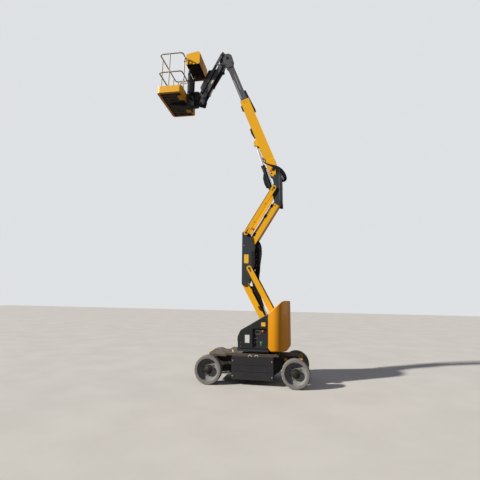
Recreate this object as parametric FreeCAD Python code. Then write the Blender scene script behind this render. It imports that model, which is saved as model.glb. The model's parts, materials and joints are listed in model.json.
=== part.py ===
import FreeCAD, Part
import math
import os

# Articulating boom lift on four wheels, in millimetres, +Z up, the boom pointing to +X.
# Everything is drawn with the slew axis at x = 0 and the ground at z = 0, then moved by slew_x.

V = FreeCAD.Vector

# Where the slew axis stands in the finished model, so that the origin is under its middle
slew_x = -670

# Wheels and axles
axle_x = 942
track_y = 620
tyre_r = 300
tyre_width = 180
tyre_shoulder = 24
rim_r = 240
rim_wall = 10
hub_r = 95
hub_reach = 44
spindle_r = 40
spindle_end = 26
groove_count = 22
groove_depth = 13
kingpin_y = 458
kingpin_r = 22
steer_arm_x = 150
tie_rod_r = 14

# Chassis
chassis_x = 560
chassis_half = 330
chassis_z = (190, 590)
neck_half = 300
rear_neck_half = 270
neck_z = (255, 560)
end_reach = (130, 150)
deck_z = (590, 640)
deck_half = 500
end_deck_z = (560, 600)
end_deck_half = (280, 470)
tray_x = (-470, 438)
tray_side = 600
tray_floor = 123
tray_groove = 12
ring_r = 330
ring_z = (640, 698)
lug_wall = 22
lug_hole_r = 18
lug_z = 500
lug_y = 335
inner_lug_x = (-700, 820)

# Turret and its covers
turret_z = (698.3, 760)
turret_x = (-639.7, 330)
cheek_y = (160, 180)
cover_y = (262, 560)
cover_wall = 14
tail_r = 831
tail_half = 600
tail_x = -362
tail_z = (704, 1775)
tail_slot = 262

# Pins of the two parallelograms, as (x, z) or as steps from another pin
pin_a = (-414, 975)
step_a_d = (-120, 344)
lower_length = 1371
lower_angle = 61.5
step_b_e = (-36, 1201)
step_b_h = (-129, 868)
upper_length = 1318
upper_angle = 121.5
pin_r = 26
pin_gap = 0.3

# Sections of the links, as half depth and (inner, outer) half width
front_link_half = 66
front_link_y = (100, 150)
rear_link_half = 60
rear_link_y = (190, 232)
upper_link_half = 58
upper_link_y = (190, 232)
upper_arm_half = 77
upper_arm_y = 150

# Main boom: pivot, section and telescoping part
step_g_pivot = (124, 849)
pivot_pin_r = 32
boom_angle = 69
boom_lift = 18
boom_half = 122
boom_y = 98
boom_wall = 10
boom_start = 103
boom_end = 2163
stage_half = 86
stage_y = 74
stage_wall = 8
stage_overlap = 880
knuckle_u = 3584
stage_nose = 240

# Jib: pins on the head, length between pins, angle
step_knuckle_low = (159, -208)
step_low_high = (-13, 313)
jib_length = 1240
jib_angle = -64
jib_pin_r = 20
jib_beam_half = 54
jib_beam_y = (94, 106)
jib_link_half = 38
jib_link_y = (98, 114)
head_y = (58, 74)

# Platform, stepped from the jib's lower end and from each other
swing_step_x = 138
swing_step_z = (-50, 330)
rotator_r = 86
leaf_half = 66
leaf_wall = 36
floor_step_z = 35
platform_step_x = (240, 915)
platform_half = 680
rail_r = 17
post_r = 15
corner_r = 75
rail_height = 1170
mid_rail_height = 615
toe_height = 190
sheet_z = (21, 26)
anchor_height = 395
anchor_wall = 10
anchor_reach = 38
anchor_hole_r = 14
near_post_x = 368
outer_post_y = 450
inner_post_y = 480
console_depth = 384
console_z_step = (-205, 185)
console_half = 415
gate_post = 85
hinge_r = 11
hinge_pin_r = 6
hinge_height = 50
hinge_gap = 0.5

# Hydraulic cylinders: base pin and rod eye as steps from the pins beside them, and radii
step_a_riser = (44, 15)
step_b_riser_eye = (-85, 320)
riser_barrel = 1060
step_g_lift = (148, 248)
lift_eye_along = 853
lift_eye_side = -159
lift_barrel = 780
step_low_jib = (-40, -170)
jib_eye_along = 900
jib_eye_drop = 75
jib_barrel = 560
bore_floor = 20


def direction(angle):
    """Unit step along an angle above +X, as (x, z)."""
    return (math.cos(math.radians(angle)), math.sin(math.radians(angle)))


def along(start, angle, distance, side=0):
    """The point at a distance along an angle, and side to the left of it."""
    c, s = direction(angle)
    return (start[0] + distance * c - side * s, start[1] + distance * s + side * c)


def span(start, end):
    """Length and angle from one (x, z) point to another."""
    dx, dz = end[0] - start[0], end[1] - start[1]
    return math.hypot(dx, dz), math.degrees(math.atan2(dz, dx))


def stepped(at, step):
    """A point at an (x, z) step from another."""
    return (at[0] + step[0], at[1] + step[1])


pin_d = stepped(pin_a, step_a_d)
pin_b = along(pin_a, lower_angle, lower_length)
pin_c = along(pin_d, lower_angle, lower_length)
pin_e = stepped(pin_b, step_b_e)
pin_h = stepped(pin_b, step_b_h)
pin_f = along(pin_e, upper_angle, upper_length)
pin_g = along(pin_h, upper_angle, upper_length)
pivot = stepped(pin_g, step_g_pivot)
knuckle = along(pivot, boom_angle, knuckle_u, boom_lift)
jib_low = stepped(knuckle, step_knuckle_low)
jib_high = stepped(jib_low, step_low_high)
jib_low_end = along(jib_low, jib_angle, jib_length)
jib_high_end = along(jib_high, jib_angle, jib_length)

riser_base = stepped(pin_a, step_a_riser)
riser_eye = stepped(pin_b, step_b_riser_eye)
lift_base = stepped(pin_g, step_g_lift)
lift_eye = along(pivot, boom_angle, lift_eye_along, lift_eye_side)
jib_base = stepped(jib_low, step_low_jib)
jib_eye = along(jib_low, jib_angle, jib_eye_along, -jib_eye_drop)

swing_x = jib_low_end[0] + swing_step_x
swing_z = tuple(jib_low_end[1] + step for step in swing_step_z)
platform_x = tuple(swing_x + step for step in platform_step_x)
floor_z = jib_low_end[1] + floor_step_z
rail_top = floor_z + rail_height
rail_mid = floor_z + mid_rail_height
anchor_z = floor_z + anchor_height
console_x = (platform_x[0] - 3 - console_depth, platform_x[0] - 3)
console_z = tuple(rail_top + step for step in console_z_step)
hinge_x = platform_x[1] - gate_post - post_r - hinge_r - 6
gate_x = (platform_x[0] + gate_post + post_r - 2, hinge_x - 24)
back_web_x = (pin_b[0] - 254, pin_b[0] - 234)


def box(x, y, z):
    """A block between (low, high) pairs."""
    return Part.makeBox(x[1] - x[0], y[1] - y[0], z[1] - z[0], V(x[0], y[0], z[0]))


def outline(points):
    """Closed wire in the XZ plane; a corner (x, z, r) is rounded by an arc of radius r."""
    corners = [(V(p[0], 0, p[1]), p[2] if len(p) > 2 else 0) for p in points]
    bends = []
    for i, (at, r) in enumerate(corners):
        before = (corners[i - 1][0] - at).normalize()
        after = (corners[(i + 1) % len(corners)][0] - at).normalize()
        half = before.getAngle(after) / 2
        cut = r / math.tan(half)
        apex = at + (before + after).normalize() * (r / math.sin(half) - r) if r else None
        bends.append((at + before * cut, apex, at + after * cut))
    edges = []
    for i, (start, apex, end) in enumerate(bends):
        if apex:
            edges.append(Part.Arc(start, apex, end).toShape())
        next_start = bends[(i + 1) % len(bends)][0]
        if (next_start - end).Length > 0.01:
            edges.append(Part.LineSegment(end, next_start).toShape())
    return Part.Wire(edges)


def plate(points, y):
    """A profile in the XZ plane, pulled out between two values of y."""
    face = Part.Face(outline(points))
    face.translate(V(0, y[0], 0))
    return face.extrude(V(0, y[1] - y[0], 0))


def flat(points, z):
    """A profile in the XY plane, pulled up between two heights."""
    face = Part.Face(outline(points))
    face.rotate(V(0, 0, 0), V(1, 0, 0), -90)
    face.translate(V(0, 0, z[0]))
    return face.extrude(V(0, 0, z[1] - z[0]))


def crossways(points, x):
    """A profile in the YZ plane, pulled out between two values of x."""
    face = Part.Face(outline(points))
    face.rotate(V(0, 0, 0), V(0, 0, 1), 90)
    face.translate(V(x[0], 0, 0))
    return face.extrude(V(x[1] - x[0], 0, 0))


def turned(points):
    """A profile of (y, radius) points turned about the Y axis."""
    face = Part.Face(outline(points))
    body = face.revolve(V(0, 0, 0), V(1, 0, 0), 360)
    body.rotate(V(0, 0, 0), V(0, 0, 1), 90)
    return body


def pin(at, radius, y):
    """A round bar across the machine through (x, z)."""
    return Part.makeCylinder(radius, y[1] - y[0], V(at[0], y[0], at[1]), V(0, 1, 0))


def post(x, y, radius, z):
    """An upright round bar."""
    return Part.makeCylinder(radius, z[1] - z[0], V(x, y, z[0]))


def tube(a, b, radius):
    """A round bar between two points given as (x, y, z)."""
    step = V(*b) - V(*a)
    return Part.makeCylinder(radius, step.Length, V(*a), step)


def bent(points, radius):
    """A round bar along (x, y, z) points, with an arc at each inner point (x, y, z, bend)."""
    spots = [(V(*p[:3]), p[3] if len(p) > 3 else 0) for p in points]
    edges, last = [], spots[0][0]
    for (before, _), (at, r), (after, _) in zip(spots, spots[1:], spots[2:]):
        back, on = (before - at).normalize(), (after - at).normalize()
        half = back.getAngle(on) / 2
        start, end = at + back * (r / math.tan(half)), at + on * (r / math.tan(half))
        apex = at + (back + on).normalize() * (r / math.sin(half) - r)
        if (start - last).Length > 0.01:
            edges.append(Part.LineSegment(last, start).toShape())
        edges.append(Part.Arc(start, apex, end).toShape())
        last = end
    if (spots[-1][0] - last).Length > 0.01:
        edges.append(Part.LineSegment(last, spots[-1][0]).toShape())
    circle = Part.Wire(Part.makeCircle(radius, spots[0][0], spots[1][0] - spots[0][0]))
    return Part.Wire(edges).makePipeShell([circle], True, False)


def rounded(x, y, r):
    """The four corners of a rectangle with round corners, as (x, y, r)."""
    return [(x[0], y[0], r), (x[1], y[0], r), (x[1], y[1], r), (x[0], y[1], r)]


def moved(shape, x=0, y=0, z=0):
    copy = shape.copy()
    copy.translate(V(x, y, z))
    return copy


def aimed(shape, at, angle):
    """A shape drawn along +X from the origin, turned to an angle above +X and set at (x, z)."""
    copy = shape.copy()
    copy.rotate(V(0, 0, 0), V(0, 1, 0), -angle)
    return moved(copy, at[0], 0, at[1])


def mirrored(shape):
    return shape.mirror(V(0, 0, 0), V(0, 1, 0))


def both(shape):
    """A shape and its mirror image on the other side of the machine."""
    return [shape, mirrored(shape)]


def join(shapes):
    return shapes[0].fuse(shapes[1:]).removeSplitter()


def capsule(length, half, y):
    """A bar with round ends from the origin along +X."""
    ends = [(-half, -half, half), (length + half, -half, half), (length + half, half, half),
            (-half, half, half)]
    return plate(ends, y)


def two_bars(length, half, y, hole_r, tubes, tube_r=36):
    """A link of two bars with holes at both pins and cross tubes at the given distances."""
    bars = both(capsule(length, half, y))
    crosses = [pin((at, 0), tube_r, (-y[0] - 1, y[0] + 1)) for at in tubes]
    link = join(bars + crosses)
    for x in (0, length):
        link = link.cut(pin((x, 0), hole_r, (-y[1] - 1, y[1] + 1)))
    return link


def tyre():
    """Tyre with slanted grooves between the lugs of both shoulders."""
    half = tyre_width / 2
    body = turned([
        (-half, rim_r), (half, rim_r), (half, tyre_r, tyre_shoulder), (-half, tyre_r, tyre_shoulder),
    ])
    grooves = []
    for side in (1, -1):
        for i in range(groove_count):
            groove = box((-10, 10), (14, half + 9), (tyre_r - groove_depth, tyre_r + 9))
            groove.rotate(V(0, half / 2, 0), V(0, 0, 1), 24)
            groove = groove if side > 0 else mirrored(groove)
            groove.rotate(V(0, 0, 0), V(0, 1, 0), (i + 0.25 * side) * 360 / groove_count)
            grooves.append(groove)
    return body.cut(grooves)


def rim():
    """Deep dish drawn with its outside towards +Y, with the hub standing out of it."""
    half = tyre_width / 2
    outer, dish = rim_r - pin_gap, 150
    bore = spindle_r + pin_gap
    return turned([
        (-half + 8, 120), (-half + 8, outer), (half - 6, outer), (half - 6, outer - rim_wall),
        (-10, outer - rim_wall - 16, 10), (-24, dish, 8), (-8, hub_r + 8, 6), (hub_reach, hub_r, 8),
        (hub_reach, 0), (spindle_end + 2, 0), (spindle_end + 2, bore), (-half + 38, bore), (-half + 38, 120),
    ])


def wheel_parts(name, x, side):
    """Tyre and rim of one wheel; side is 1 on the left and -1 on the right."""
    parts = {}
    for piece, shape in (("tyre", tyre()), ("rim", rim())):
        placed = shape if side > 0 else mirrored(shape)
        parts[piece + "_" + name] = moved(placed, x, side * track_y, tyre_r)
    return parts


def drive_hub():
    """Fixed drive housing and its shaft into the wheel, on the left."""
    y = track_y - tyre_width / 2
    body = turned([
        (neck_half, 0), (y - 12, 0), (y - 12, 105, 12), (neck_half + 60, 120, 10), (neck_half, 120),
    ])
    shaft = turned([
        (y - 13, 0), (track_y + spindle_end, 0), (track_y + spindle_end, spindle_r), (y - 13, spindle_r),
    ])
    return moved(join([body, shaft]), axle_x, 0, tyre_r)


def chassis_frame():
    """Middle box, two necks out to the axles and the steering axle with its forks."""
    z0, z1 = chassis_z
    side = [(-chassis_x, z0 + 60), (-chassis_x + 80, z0), (chassis_x - 80, z0),
            (chassis_x, z0 + 60), (chassis_x, z1), (-chassis_x, z1)]
    middle = plate(side, (-chassis_half, chassis_half))
    n0, n1 = neck_z
    rear_end, front_end = [axle_x + reach for reach in end_reach]
    front = plate([(chassis_x - 5, n0 - 20), (axle_x + 60, n0 - 90), (front_end, n0 - 40),
                   (front_end, n1 - 60),
                   (axle_x + 60, n1), (chassis_x - 5, n1)], (-neck_half, neck_half))
    back = plate([(-chassis_x + 5, n0 - 20), (-chassis_x - 150, tyre_r + 70), (-rear_end, tyre_r + 70),
                  (-rear_end, n1 - 60), (-axle_x - 60, n1), (-chassis_x + 5, n1)],
                 (-rear_neck_half, rear_neck_half))
    beam = box((-axle_x - 55, -axle_x + 55), (-kingpin_y + 80, kingpin_y - 80), (tyre_r - 75, tyre_r + 80))
    forks = []
    for z in ((tyre_r + 55, tyre_r + 80), (tyre_r - 80, tyre_r - 55)):
        ear = box((-axle_x - 50, -axle_x + 50), (kingpin_y - 90, kingpin_y), z)
        ear = ear.fuse(post(-axle_x, kingpin_y, 50, z))
        ear = ear.cut(post(-axle_x, kingpin_y, kingpin_r + pin_gap, (z[0] - 1, z[1] + 1)))
        forks += both(ear)
    return join([middle, front, back, beam] + forks)


def deck():
    """Top plate over the frame, with a lower plate between the wheels at each end."""
    rear, front = end_deck_half
    middle = box((-chassis_x - 20, chassis_x + 44), (-deck_half, deck_half), deck_z)
    nose = flat([(chassis_x + 20, -front), (axle_x - 12, 30 - front), (axle_x + 68, 170 - front),
                 (axle_x + 68, front - 170), (axle_x - 12, front - 30), (chassis_x + 20, front)], end_deck_z)
    back = box((-axle_x - 48, -chassis_x - 2), (-rear, rear), end_deck_z)
    return join([middle, nose, back])


def tray():
    """Battery tray on the left with two long grooves in its outer face."""
    x, y, z = tray_x, (chassis_half + pin_gap, tray_side), (tray_floor, deck_z[0] - pin_gap)
    block = plate([(x[0], z[0], 25), (x[1], z[0], 25), (x[1], z[1], 12), (x[0], z[1], 12)], y)
    for share in (0.33, 0.62):
        level = z[0] + share * (z[1] - z[0])
        block = block.cut(box((x[0] + 60, x[1] - 60), (y[1] - tray_groove, y[1] + 1),
                              (level - 9, level + 9)))
    return block


def tie_down(x, y):
    """Lashing eye standing out sideways from an end face of the frame on the left."""
    z = lug_z
    eye = crossways([(y - 110, z - 70), (y - 35, z - 70), (y + 41, z - 35, 30), (y + 41, z + 36, 30),
                     (y - 35, z + 44, 20), (y - 110, z)], (x, x + lug_wall))
    return eye.cut(tube((x - 1, y, z), (x + lug_wall + 1, y, z), lug_hole_r))


def inner_lug(x, y):
    """Small pulling eye on the side of the frame, under the deck."""
    top = end_deck_z[0] - 1
    eye = crossways([(y, top - 70), (y + 48, top - 70, 20), (y + 74, top - 40, 24), (y + 74, top), (y, top)],
                    (x - 11, x + 11))
    return eye.cut(tube((x - 12, y + 42, top - 36), (x + 12, y + 42, top - 36), 14))


def tie_downs():
    rear_x, front_x = inner_lug_x
    rear_end, front_end = [axle_x + reach for reach in end_reach]
    eyes = both(tie_down(front_end, lug_y)) + both(tie_down(-rear_end - lug_wall, lug_y - 20))
    return Part.makeCompound(eyes + both(inner_lug(front_x, neck_half)) + both(inner_lug(rear_x,
                                                                                         rear_neck_half)))


def knuckle_piece():
    """Left steering knuckle: kingpin, block, spindle and steering arm."""
    z = (tyre_r - 54, tyre_r + 54)
    core = post(-axle_x, kingpin_y, 44, z)
    kingpin = post(-axle_x, kingpin_y, kingpin_r, (tyre_r - 92, tyre_r + 92))
    flange = pin((-axle_x, tyre_r), 52, (kingpin_y + 20, track_y - tyre_width / 2 - 8))
    spindle = pin((-axle_x, tyre_r), spindle_r, (kingpin_y + 20, track_y + spindle_end))
    arm = box((-axle_x, -axle_x + steer_arm_x), (kingpin_y - 22, kingpin_y + 22), (tyre_r - 30, tyre_r - 6))
    ball = post(-axle_x + steer_arm_x, kingpin_y, 24, (tyre_r - 30, tyre_r - 6))
    stud = post(-axle_x + steer_arm_x, kingpin_y, 11, (tyre_r - 7, tyre_r + 34))
    return join([core, kingpin, flange, spindle, arm, ball, stud])


def tie_rod():
    """Bar between the two steering arms, lifted over them."""
    x, z = -axle_x + steer_arm_x, tyre_r + 12
    bar = tube((x, -kingpin_y, z), (x, kingpin_y, z), tie_rod_r)
    ends = [post(x, side * kingpin_y, 22, (z - 14, z + 14)) for side in (1, -1)]
    rod = join([bar] + ends)
    for side in (1, -1):
        rod = rod.cut(post(x, side * kingpin_y, 11 + pin_gap, (z - 40, z + 40)))
    return rod


def slew_ring():
    ring = post(0, 0, ring_r, ring_z)
    return ring.cut(post(0, 0, ring_r - 70, (ring_z[0] - 1, ring_z[1] + 1)))


def turret_frame():
    """Base plate with the two cheeks that carry the lower links."""
    base = box((tail_x + pin_gap, turret_x[1]), (-540, 540), turret_z)
    base = base.fuse(box(turret_x, (pin_gap - tail_slot, tail_slot - pin_gap), turret_z))
    z0 = turret_z[1] - 1
    ax, az = pin_a
    dx, dz = pin_d
    cheek = plate([(ax + 330, z0), (ax + 60, az + 20, 60), (ax + 10, az + 90, 60), (dx + 50, dz + 50, 52),
                   (dx - 52, dz + 50, 52), (dx - 52, z0)], cheek_y)
    cheeks = both(cheek)
    web = box((dx - 40, dx - 20), (-cheek_y[0] - 1, cheek_y[0] + 1), (z0, dz - 120))
    lower_pin = [pin(pin_a, pin_r, (front_link_y[0] - 8, cheek_y[0] + 1))]
    upper_pin = [pin(pin_d, pin_r, (cheek_y[1] - 1, rear_link_y[1] + 12))]
    stubs = both(lower_pin[0]) + both(upper_pin[0])
    ears = both(plate([(riser_base[0] - 45, z0), (riser_base[0] + 55, z0),
                       (riser_base[0] + 45, riser_base[1] + 42, 40),
                       (riser_base[0] - 42, riser_base[1] + 42, 40)], (60, 80)))
    cylinder_pin = [pin(riser_base, pin_r, (-81, 81))]
    return join([base] + cheeks + [web] + stubs + ears + cylinder_pin)


def side_cover():
    """Left hood of the turret, hollow, with a sloping top and a recess for the controls."""
    x0, z0 = tail_x + pin_gap, turret_z[1] + pin_gap
    outer = [(x0, z0), (312, z0, 20), (315, 999, 60), (252, 1132, 60), (-310, 1462, 40), (x0, 1470)]
    shell = plate(outer, cover_y)
    inner = [(tail_x + 22, z0 - 20), (298, z0 - 20), (298, 992, 50), (242, 1118, 50), (-312, 1444, 20),
             (tail_x + 22, 1450)]
    hollow = plate(inner, (cover_y[0] + cover_wall, cover_y[1] - cover_wall))
    shell = shell.cut(hollow)
    recess = plate(rounded((-326, -12), (z0 + 14, 1180), 24), (cover_y[1] - cover_wall - 1, cover_y[1] + 1))
    return shell.cut(recess)


def control_panel(depth=46):
    """Tray behind the recess of the left hood, with a slanted panel."""
    back = plate(rounded((-339, 3), (turret_z[1] + 1, 1194), 20),
                 (cover_y[1] - cover_wall - depth, cover_y[1] - cover_wall - pin_gap))
    front = plate(rounded((-323, -15), (turret_z[1] + 17, 1177), 22),
                  (cover_y[1] - cover_wall - depth + 8, cover_y[1]))
    return back.cut(front)


def tail():
    """Counterweight casting: round in plan about the slew axis, flat at the sides, open between its arms."""
    z0, z1 = tail_z
    side = plate([(tail_x, 770), (tail_x - 54, z0, 30), (-tail_r + 85, z0, 60), (-tail_r - 5, z0 + 90, 60),
                  (-tail_r - 5, z1, 40), (-666, z1, 40), (tail_x, 1515)], (-tail_half, tail_half))
    disc = post(0, 0, tail_r, (z0 - 1, z1 + 1))
    body = side.common(disc)
    room = box((-640, tail_x + 1), (-tail_slot, tail_slot), (z0 - 1, z1 + 1))
    return body.cut(room)


def mid_upright():
    """Two charcoal plates and the webs between them, with the pins of both parallelograms."""
    bx, bz = pin_b
    cx, cz = pin_c
    hx, hz = pin_h
    fx, fz = pin_e
    cheek = plate([(bx + 62, bz - 75, 70), (fx + 98, fz + 14, 16), (fx + 56, fz + 44, 30),
                   (fx - 39, fz + 44, 30),
                   (fx - 96, fz - 39, 20), (fx - 145, fz - 93, 20), (hx - 76, hz + 96, 30),
                   (hx - 119, hz - 18, 20),
                   (cx - 130, cz + 86, 30), (bx - 140, bz + 150, 40), (bx - 113, bz + 16, 30),
                   (bx - 38, bz - 72, 40)], cheek_y)
    inside = (-cheek_y[0] - 1, cheek_y[0] + 1)
    front_web = box((bx + 10, bx + 32), inside, (bz + 150, fz - 121))
    back_web = box(back_web_x, inside, (bz + 380, bz + 680))
    top_web = box((bx - 110, bx - 10), inside, (fz - 81, fz - 61))
    pins = [pin(pin_b, pin_r, inside), pin(pin_h, pin_r, inside)]
    stubs = both(pin(pin_c, pin_r, (cheek_y[1] - 1, rear_link_y[1] + 12)))
    stubs += both(pin(pin_e, pin_r, (cheek_y[1] - 1, upper_link_y[1] + 12)))
    ex, ez = riser_eye
    ears = both(plate([(bx + 15, ez - 60), (bx + 15, ez + 70), (ex - 10, ez + 46, 40), (ex - 48, ez, 40),
                       (ex - 10, ez - 46, 40)], (60, 80)))
    return join(both(cheek) + [front_web, back_web, top_web] + pins + stubs + ears)


def hose_cover():
    """Dark channel down the back of the middle upright."""
    seat, z = back_web_x[0] - pin_gap, pin_b[1]
    return plate([(seat, z + 376), (seat, z + 725), (seat - 142, z + 725, 30), (seat - 118, z + 548),
                  (seat - 95, z + 376, 20)], (-110, 110))


def upper_arm():
    """Box arm of the upper parallelogram with slots along its upper edge."""
    half = upper_arm_half
    side = [(-half, -half, half - 1), (upper_length + half, -half, half - 1),
            (upper_length + half, half, half - 1), (-half, half, half - 1)]
    arm = plate(side, (-upper_arm_y, upper_arm_y))
    inner = box((120, upper_length - 120), (-upper_arm_y + 12, upper_arm_y - 12), (-half + 10, half - 10))
    arm = arm.cut(inner)
    for x in (0, upper_length):
        arm = arm.cut(pin((x, 0), pin_r + pin_gap, (-upper_arm_y - 1, upper_arm_y + 1)))
    return aimed(arm, pin_h, upper_angle)


def top_upright():
    """Two plates with the upper pins, and the lugs inside them that carry the boom and its cylinder."""
    gx, gz = pin_g
    px, pz = pivot
    lx, lz = lift_base
    cheek = plate([(gx - 102, pz - 159, 14), (gx - 102, gz - 137, 40), (gx + 3, gz - 102, 60),
                   (gx + 78, gz - 62, 60),
                   (gx + 123, gz + 118, 60), (gx + 128, pz - 476, 30), (gx + 100, pz - 381, 30),
                   (gx + 100, pz - 186, 30), (gx + 78, pz - 159, 12)], cheek_y)
    inside = (-cheek_y[0] - 1, cheek_y[0] + 1)
    back_web = box((gx - 90, gx - 70), inside, (gz + 108, pz - 159))
    shelf = box((gx - 90, gx + 78), inside, (pz - 281, pz - 265))
    lugs = both(plate([(px + 62, pz + 62, 61), (px - 62, pz + 62, 61), (px - 214, pz - 141, 20),
                       (px - 214, pz - 381),
                       (px - 24, pz - 381), (px + 62, pz - 61, 40)], (boom_y - 26, boom_y - 6)))
    pins = [pin(pin_g, pin_r, inside), pin(pivot, pivot_pin_r, (-boom_y - 26, boom_y + 26))]
    stubs = both(pin(pin_f, pin_r, (cheek_y[1] - 1, upper_link_y[1] + 12)))
    ears = both(plate([(gx - 94, lz + 50), (gx - 94, lz - 60), (lx, lz - 44, 30), (lx + 44, lz, 40),
                       (lx, lz + 44, 30)], (60, 80)))
    foot_pin = pin(lift_base, pin_r, (-81, 81))
    return join(both(cheek) + [back_web, shelf] + lugs + pins + stubs + ears + [foot_pin])


def boom_base():
    """Outer box of the boom, open at its mouth, with tail plates down to the pivot."""
    low, high = boom_lift - boom_half, boom_lift + boom_half
    shell = box((boom_start, boom_end), (-boom_y, boom_y), (low, high))
    hollow = box((boom_start + 60, boom_end + 1), (-boom_y + boom_wall, boom_y - boom_wall),
                 (low + boom_wall, high - boom_wall))
    shell = shell.cut(hollow)
    y = (boom_y, boom_y + 18)
    cheek = plate([(boom_start + 160, low + 4), (0, -120, 90), (-120, -118, 60), (-218, -34, 34),
                   (-150, 22, 40),
                   (-40, 60, 60), (10, high - 8, 30), (boom_start + 160, high - 8)], y)
    cheek = cheek.cut(pin((-91, -71), 20, (y[0] - 1, y[1] + 1)))
    boss = pin((0, 0), 52, (y[0], y[1] + 4))
    pads = []
    for u in (boom_end - 130, boom_end - 520):
        pads += both(box((u, u + 110), (stage_y + pin_gap, boom_y - boom_wall + 1),
                         (boom_lift - 50, boom_lift + 50)))
        for side in (1, -1):
            z = sorted((side * (stage_half + pin_gap), side * (boom_half - boom_wall + 1)))
            pads.append(box((u, u + 110), (-50, 50), (z[0] + boom_lift, z[1] + boom_lift)))
    base = join([shell] + both(cheek) + both(boss) + pads)
    base = base.cut(pin((0, 0), pivot_pin_r + pin_gap, (-200, 200)))
    ex, ez = local_eye()
    ear = plate([(ex - 110, low + 4), (ex + 110, low + 4), (ex + 52, ez - 36, 40), (ex - 52, ez - 36, 40)],
                (60, 80))
    base = join([base] + both(ear))
    return aimed(base, pivot, boom_angle)


def boom_trough():
    """Black housing of the hose chain on the back of the boom, reaching past its mouth."""
    seat, under = boom_lift + boom_half + pin_gap, boom_lift + stage_half + 3
    profile = [(boom_end - 420, seat), (boom_end - 400, seat + 52, 20), (boom_end, seat + 26),
               (boom_end + 283, seat + 10, 6),
               (boom_end + 283, under), (boom_end + 1, under), (boom_end + 1, seat)]
    return aimed(plate(profile, (-50, 50)), pivot, boom_angle)


def local_eye():
    """The lift cylinder's eye in the boom's own frame."""
    length, angle = span(pivot, lift_eye)
    return (length * math.cos(math.radians(angle - boom_angle)),
            length * math.sin(math.radians(angle - boom_angle)))


def boom_extension():
    """Inner box of the boom with the cheeks that hold the jib head."""
    low, high = boom_lift - stage_half, boom_lift + stage_half
    end = knuckle_u - stage_nose
    stage = box((boom_end - stage_overlap, end), (-stage_y, stage_y), (low, high))
    stage = stage.cut(box((boom_end - stage_overlap - 1, end - 40),
                          (-stage_y + stage_wall, stage_y - stage_wall),
                          (low + stage_wall, high - stage_wall)))
    k = knuckle_u
    cheek = plate([(end - 70, low + 4), (k - 232, -92, 20), (k - 56, -108, 60), (k + 106, -95, 60),
                   (k + 151, -20, 50),
                   (k + 116, 110, 60), (k + 28, 168, 40), (k - 114, 160, 40), (end, high - 4),
                   (end - 70, high - 4)],
                  (stage_y, stage_y + 18))
    pivot_pin = both(pin((k, boom_lift), pin_r, (head_y[0] - 10, stage_y + 26)))
    whole = join([stage] + both(cheek) + pivot_pin)
    return aimed(whole, pivot, boom_angle)


def jib_head():
    """Levelled head at the knuckle that carries both jib members and the foot of the jib cylinder."""
    kx, kz = knuckle
    lx, lz = jib_low
    hx, hz = jib_high
    qx, qz = jib_base
    cheek = plate([(qx - 36, qz - 38, 34), (qx + 44, qz - 38, 34), (lx + 52, lz - 30, 50),
                   (hx + 50, hz + 30, 44),
                   (hx - 18, hz + 128, 10), (hx - 70, hz + 62, 40), (kx - 62, kz + 62, 50),
                   (kx - 55, kz - 60, 40),
                   (lx - 60, lz - 10, 20)], head_y)
    cheeks = [c.cut(pin(knuckle, pin_r + pin_gap, (-200, 200))) for c in both(cheek)]
    pins = [pin(jib_low, jib_pin_r, (-jib_beam_y[1] - 8, jib_beam_y[1] + 8)),
            pin(jib_base, jib_pin_r, (-head_y[0] - 1, head_y[0] + 1))]
    stubs = both(pin(jib_high, jib_pin_r, (head_y[1] - 1, jib_link_y[1] + 8)))
    web = aimed(box((-70, 70), (-head_y[0] - 1, head_y[0] + 1), (-9, 9)), (kx + 82, kz + 84), 30)
    return join(cheeks + pins + stubs + [web])


def jib_beam():
    """Lower member of the jib: a channel open underneath, with ears inside for its cylinder."""
    half = jib_beam_half
    side = plate([(-half, -half, half - 1), (jib_length + 46, -half, 8), (jib_length + 46, half, 40),
                  (-half, half, half - 1)], jib_beam_y)
    web = box((200, jib_length - 270), (-jib_beam_y[0] - 1, jib_beam_y[0] + 1), (half - 12, half))
    x, drop = jib_eye_along, jib_eye_drop
    ear = plate([(x - 60, half - 11), (x - 34, -drop - 30, 30), (x + 34, -drop - 30, 30),
                 (x + 60, half - 11)],
                (26, 42))
    beam = join(both(side) + [web] + both(ear))
    for at in (0, jib_length):
        beam = beam.cut(pin((at, 0), jib_pin_r + pin_gap, (-150, 150)))
    return aimed(beam, jib_low, jib_angle)


def jib_link():
    """Upper member of the jib, two slim bars tied together."""
    bars = both(capsule(jib_length, jib_link_half, jib_link_y))
    ties = [pin((x, 0), 14, (-jib_link_y[0] - 1, jib_link_y[0] + 1)) for x in (260, jib_length - 260)]
    link = join(bars + ties)
    for at in (0, jib_length):
        link = link.cut(pin((at, 0), jib_pin_r + pin_gap, (-200, 200)))
    return aimed(link, jib_high, jib_angle)


def hose_guard():
    """Folded plate over the lower half of the jib's upper member."""
    foot, end = jib_link_half, jib_length - 70
    profile = [(505, foot), (560, 143, 20), (end - 40, 112, 20), (end, foot)]
    guard = plate(profile, (-80, 80))
    inner = plate([(519, foot - 1), (568, 135, 12), (end - 46, 104, 12), (end - 14, foot - 1)], (-81, 81))
    feet = [box((505, end), y, (foot, foot + 8)) for y in ((80, 104), (-104, -80))]
    sides = [plate(profile, y) for y in ((76, 84), (-84, -76))]
    return aimed(join([guard.cut(inner)] + feet + sides), jib_high, jib_angle)


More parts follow.
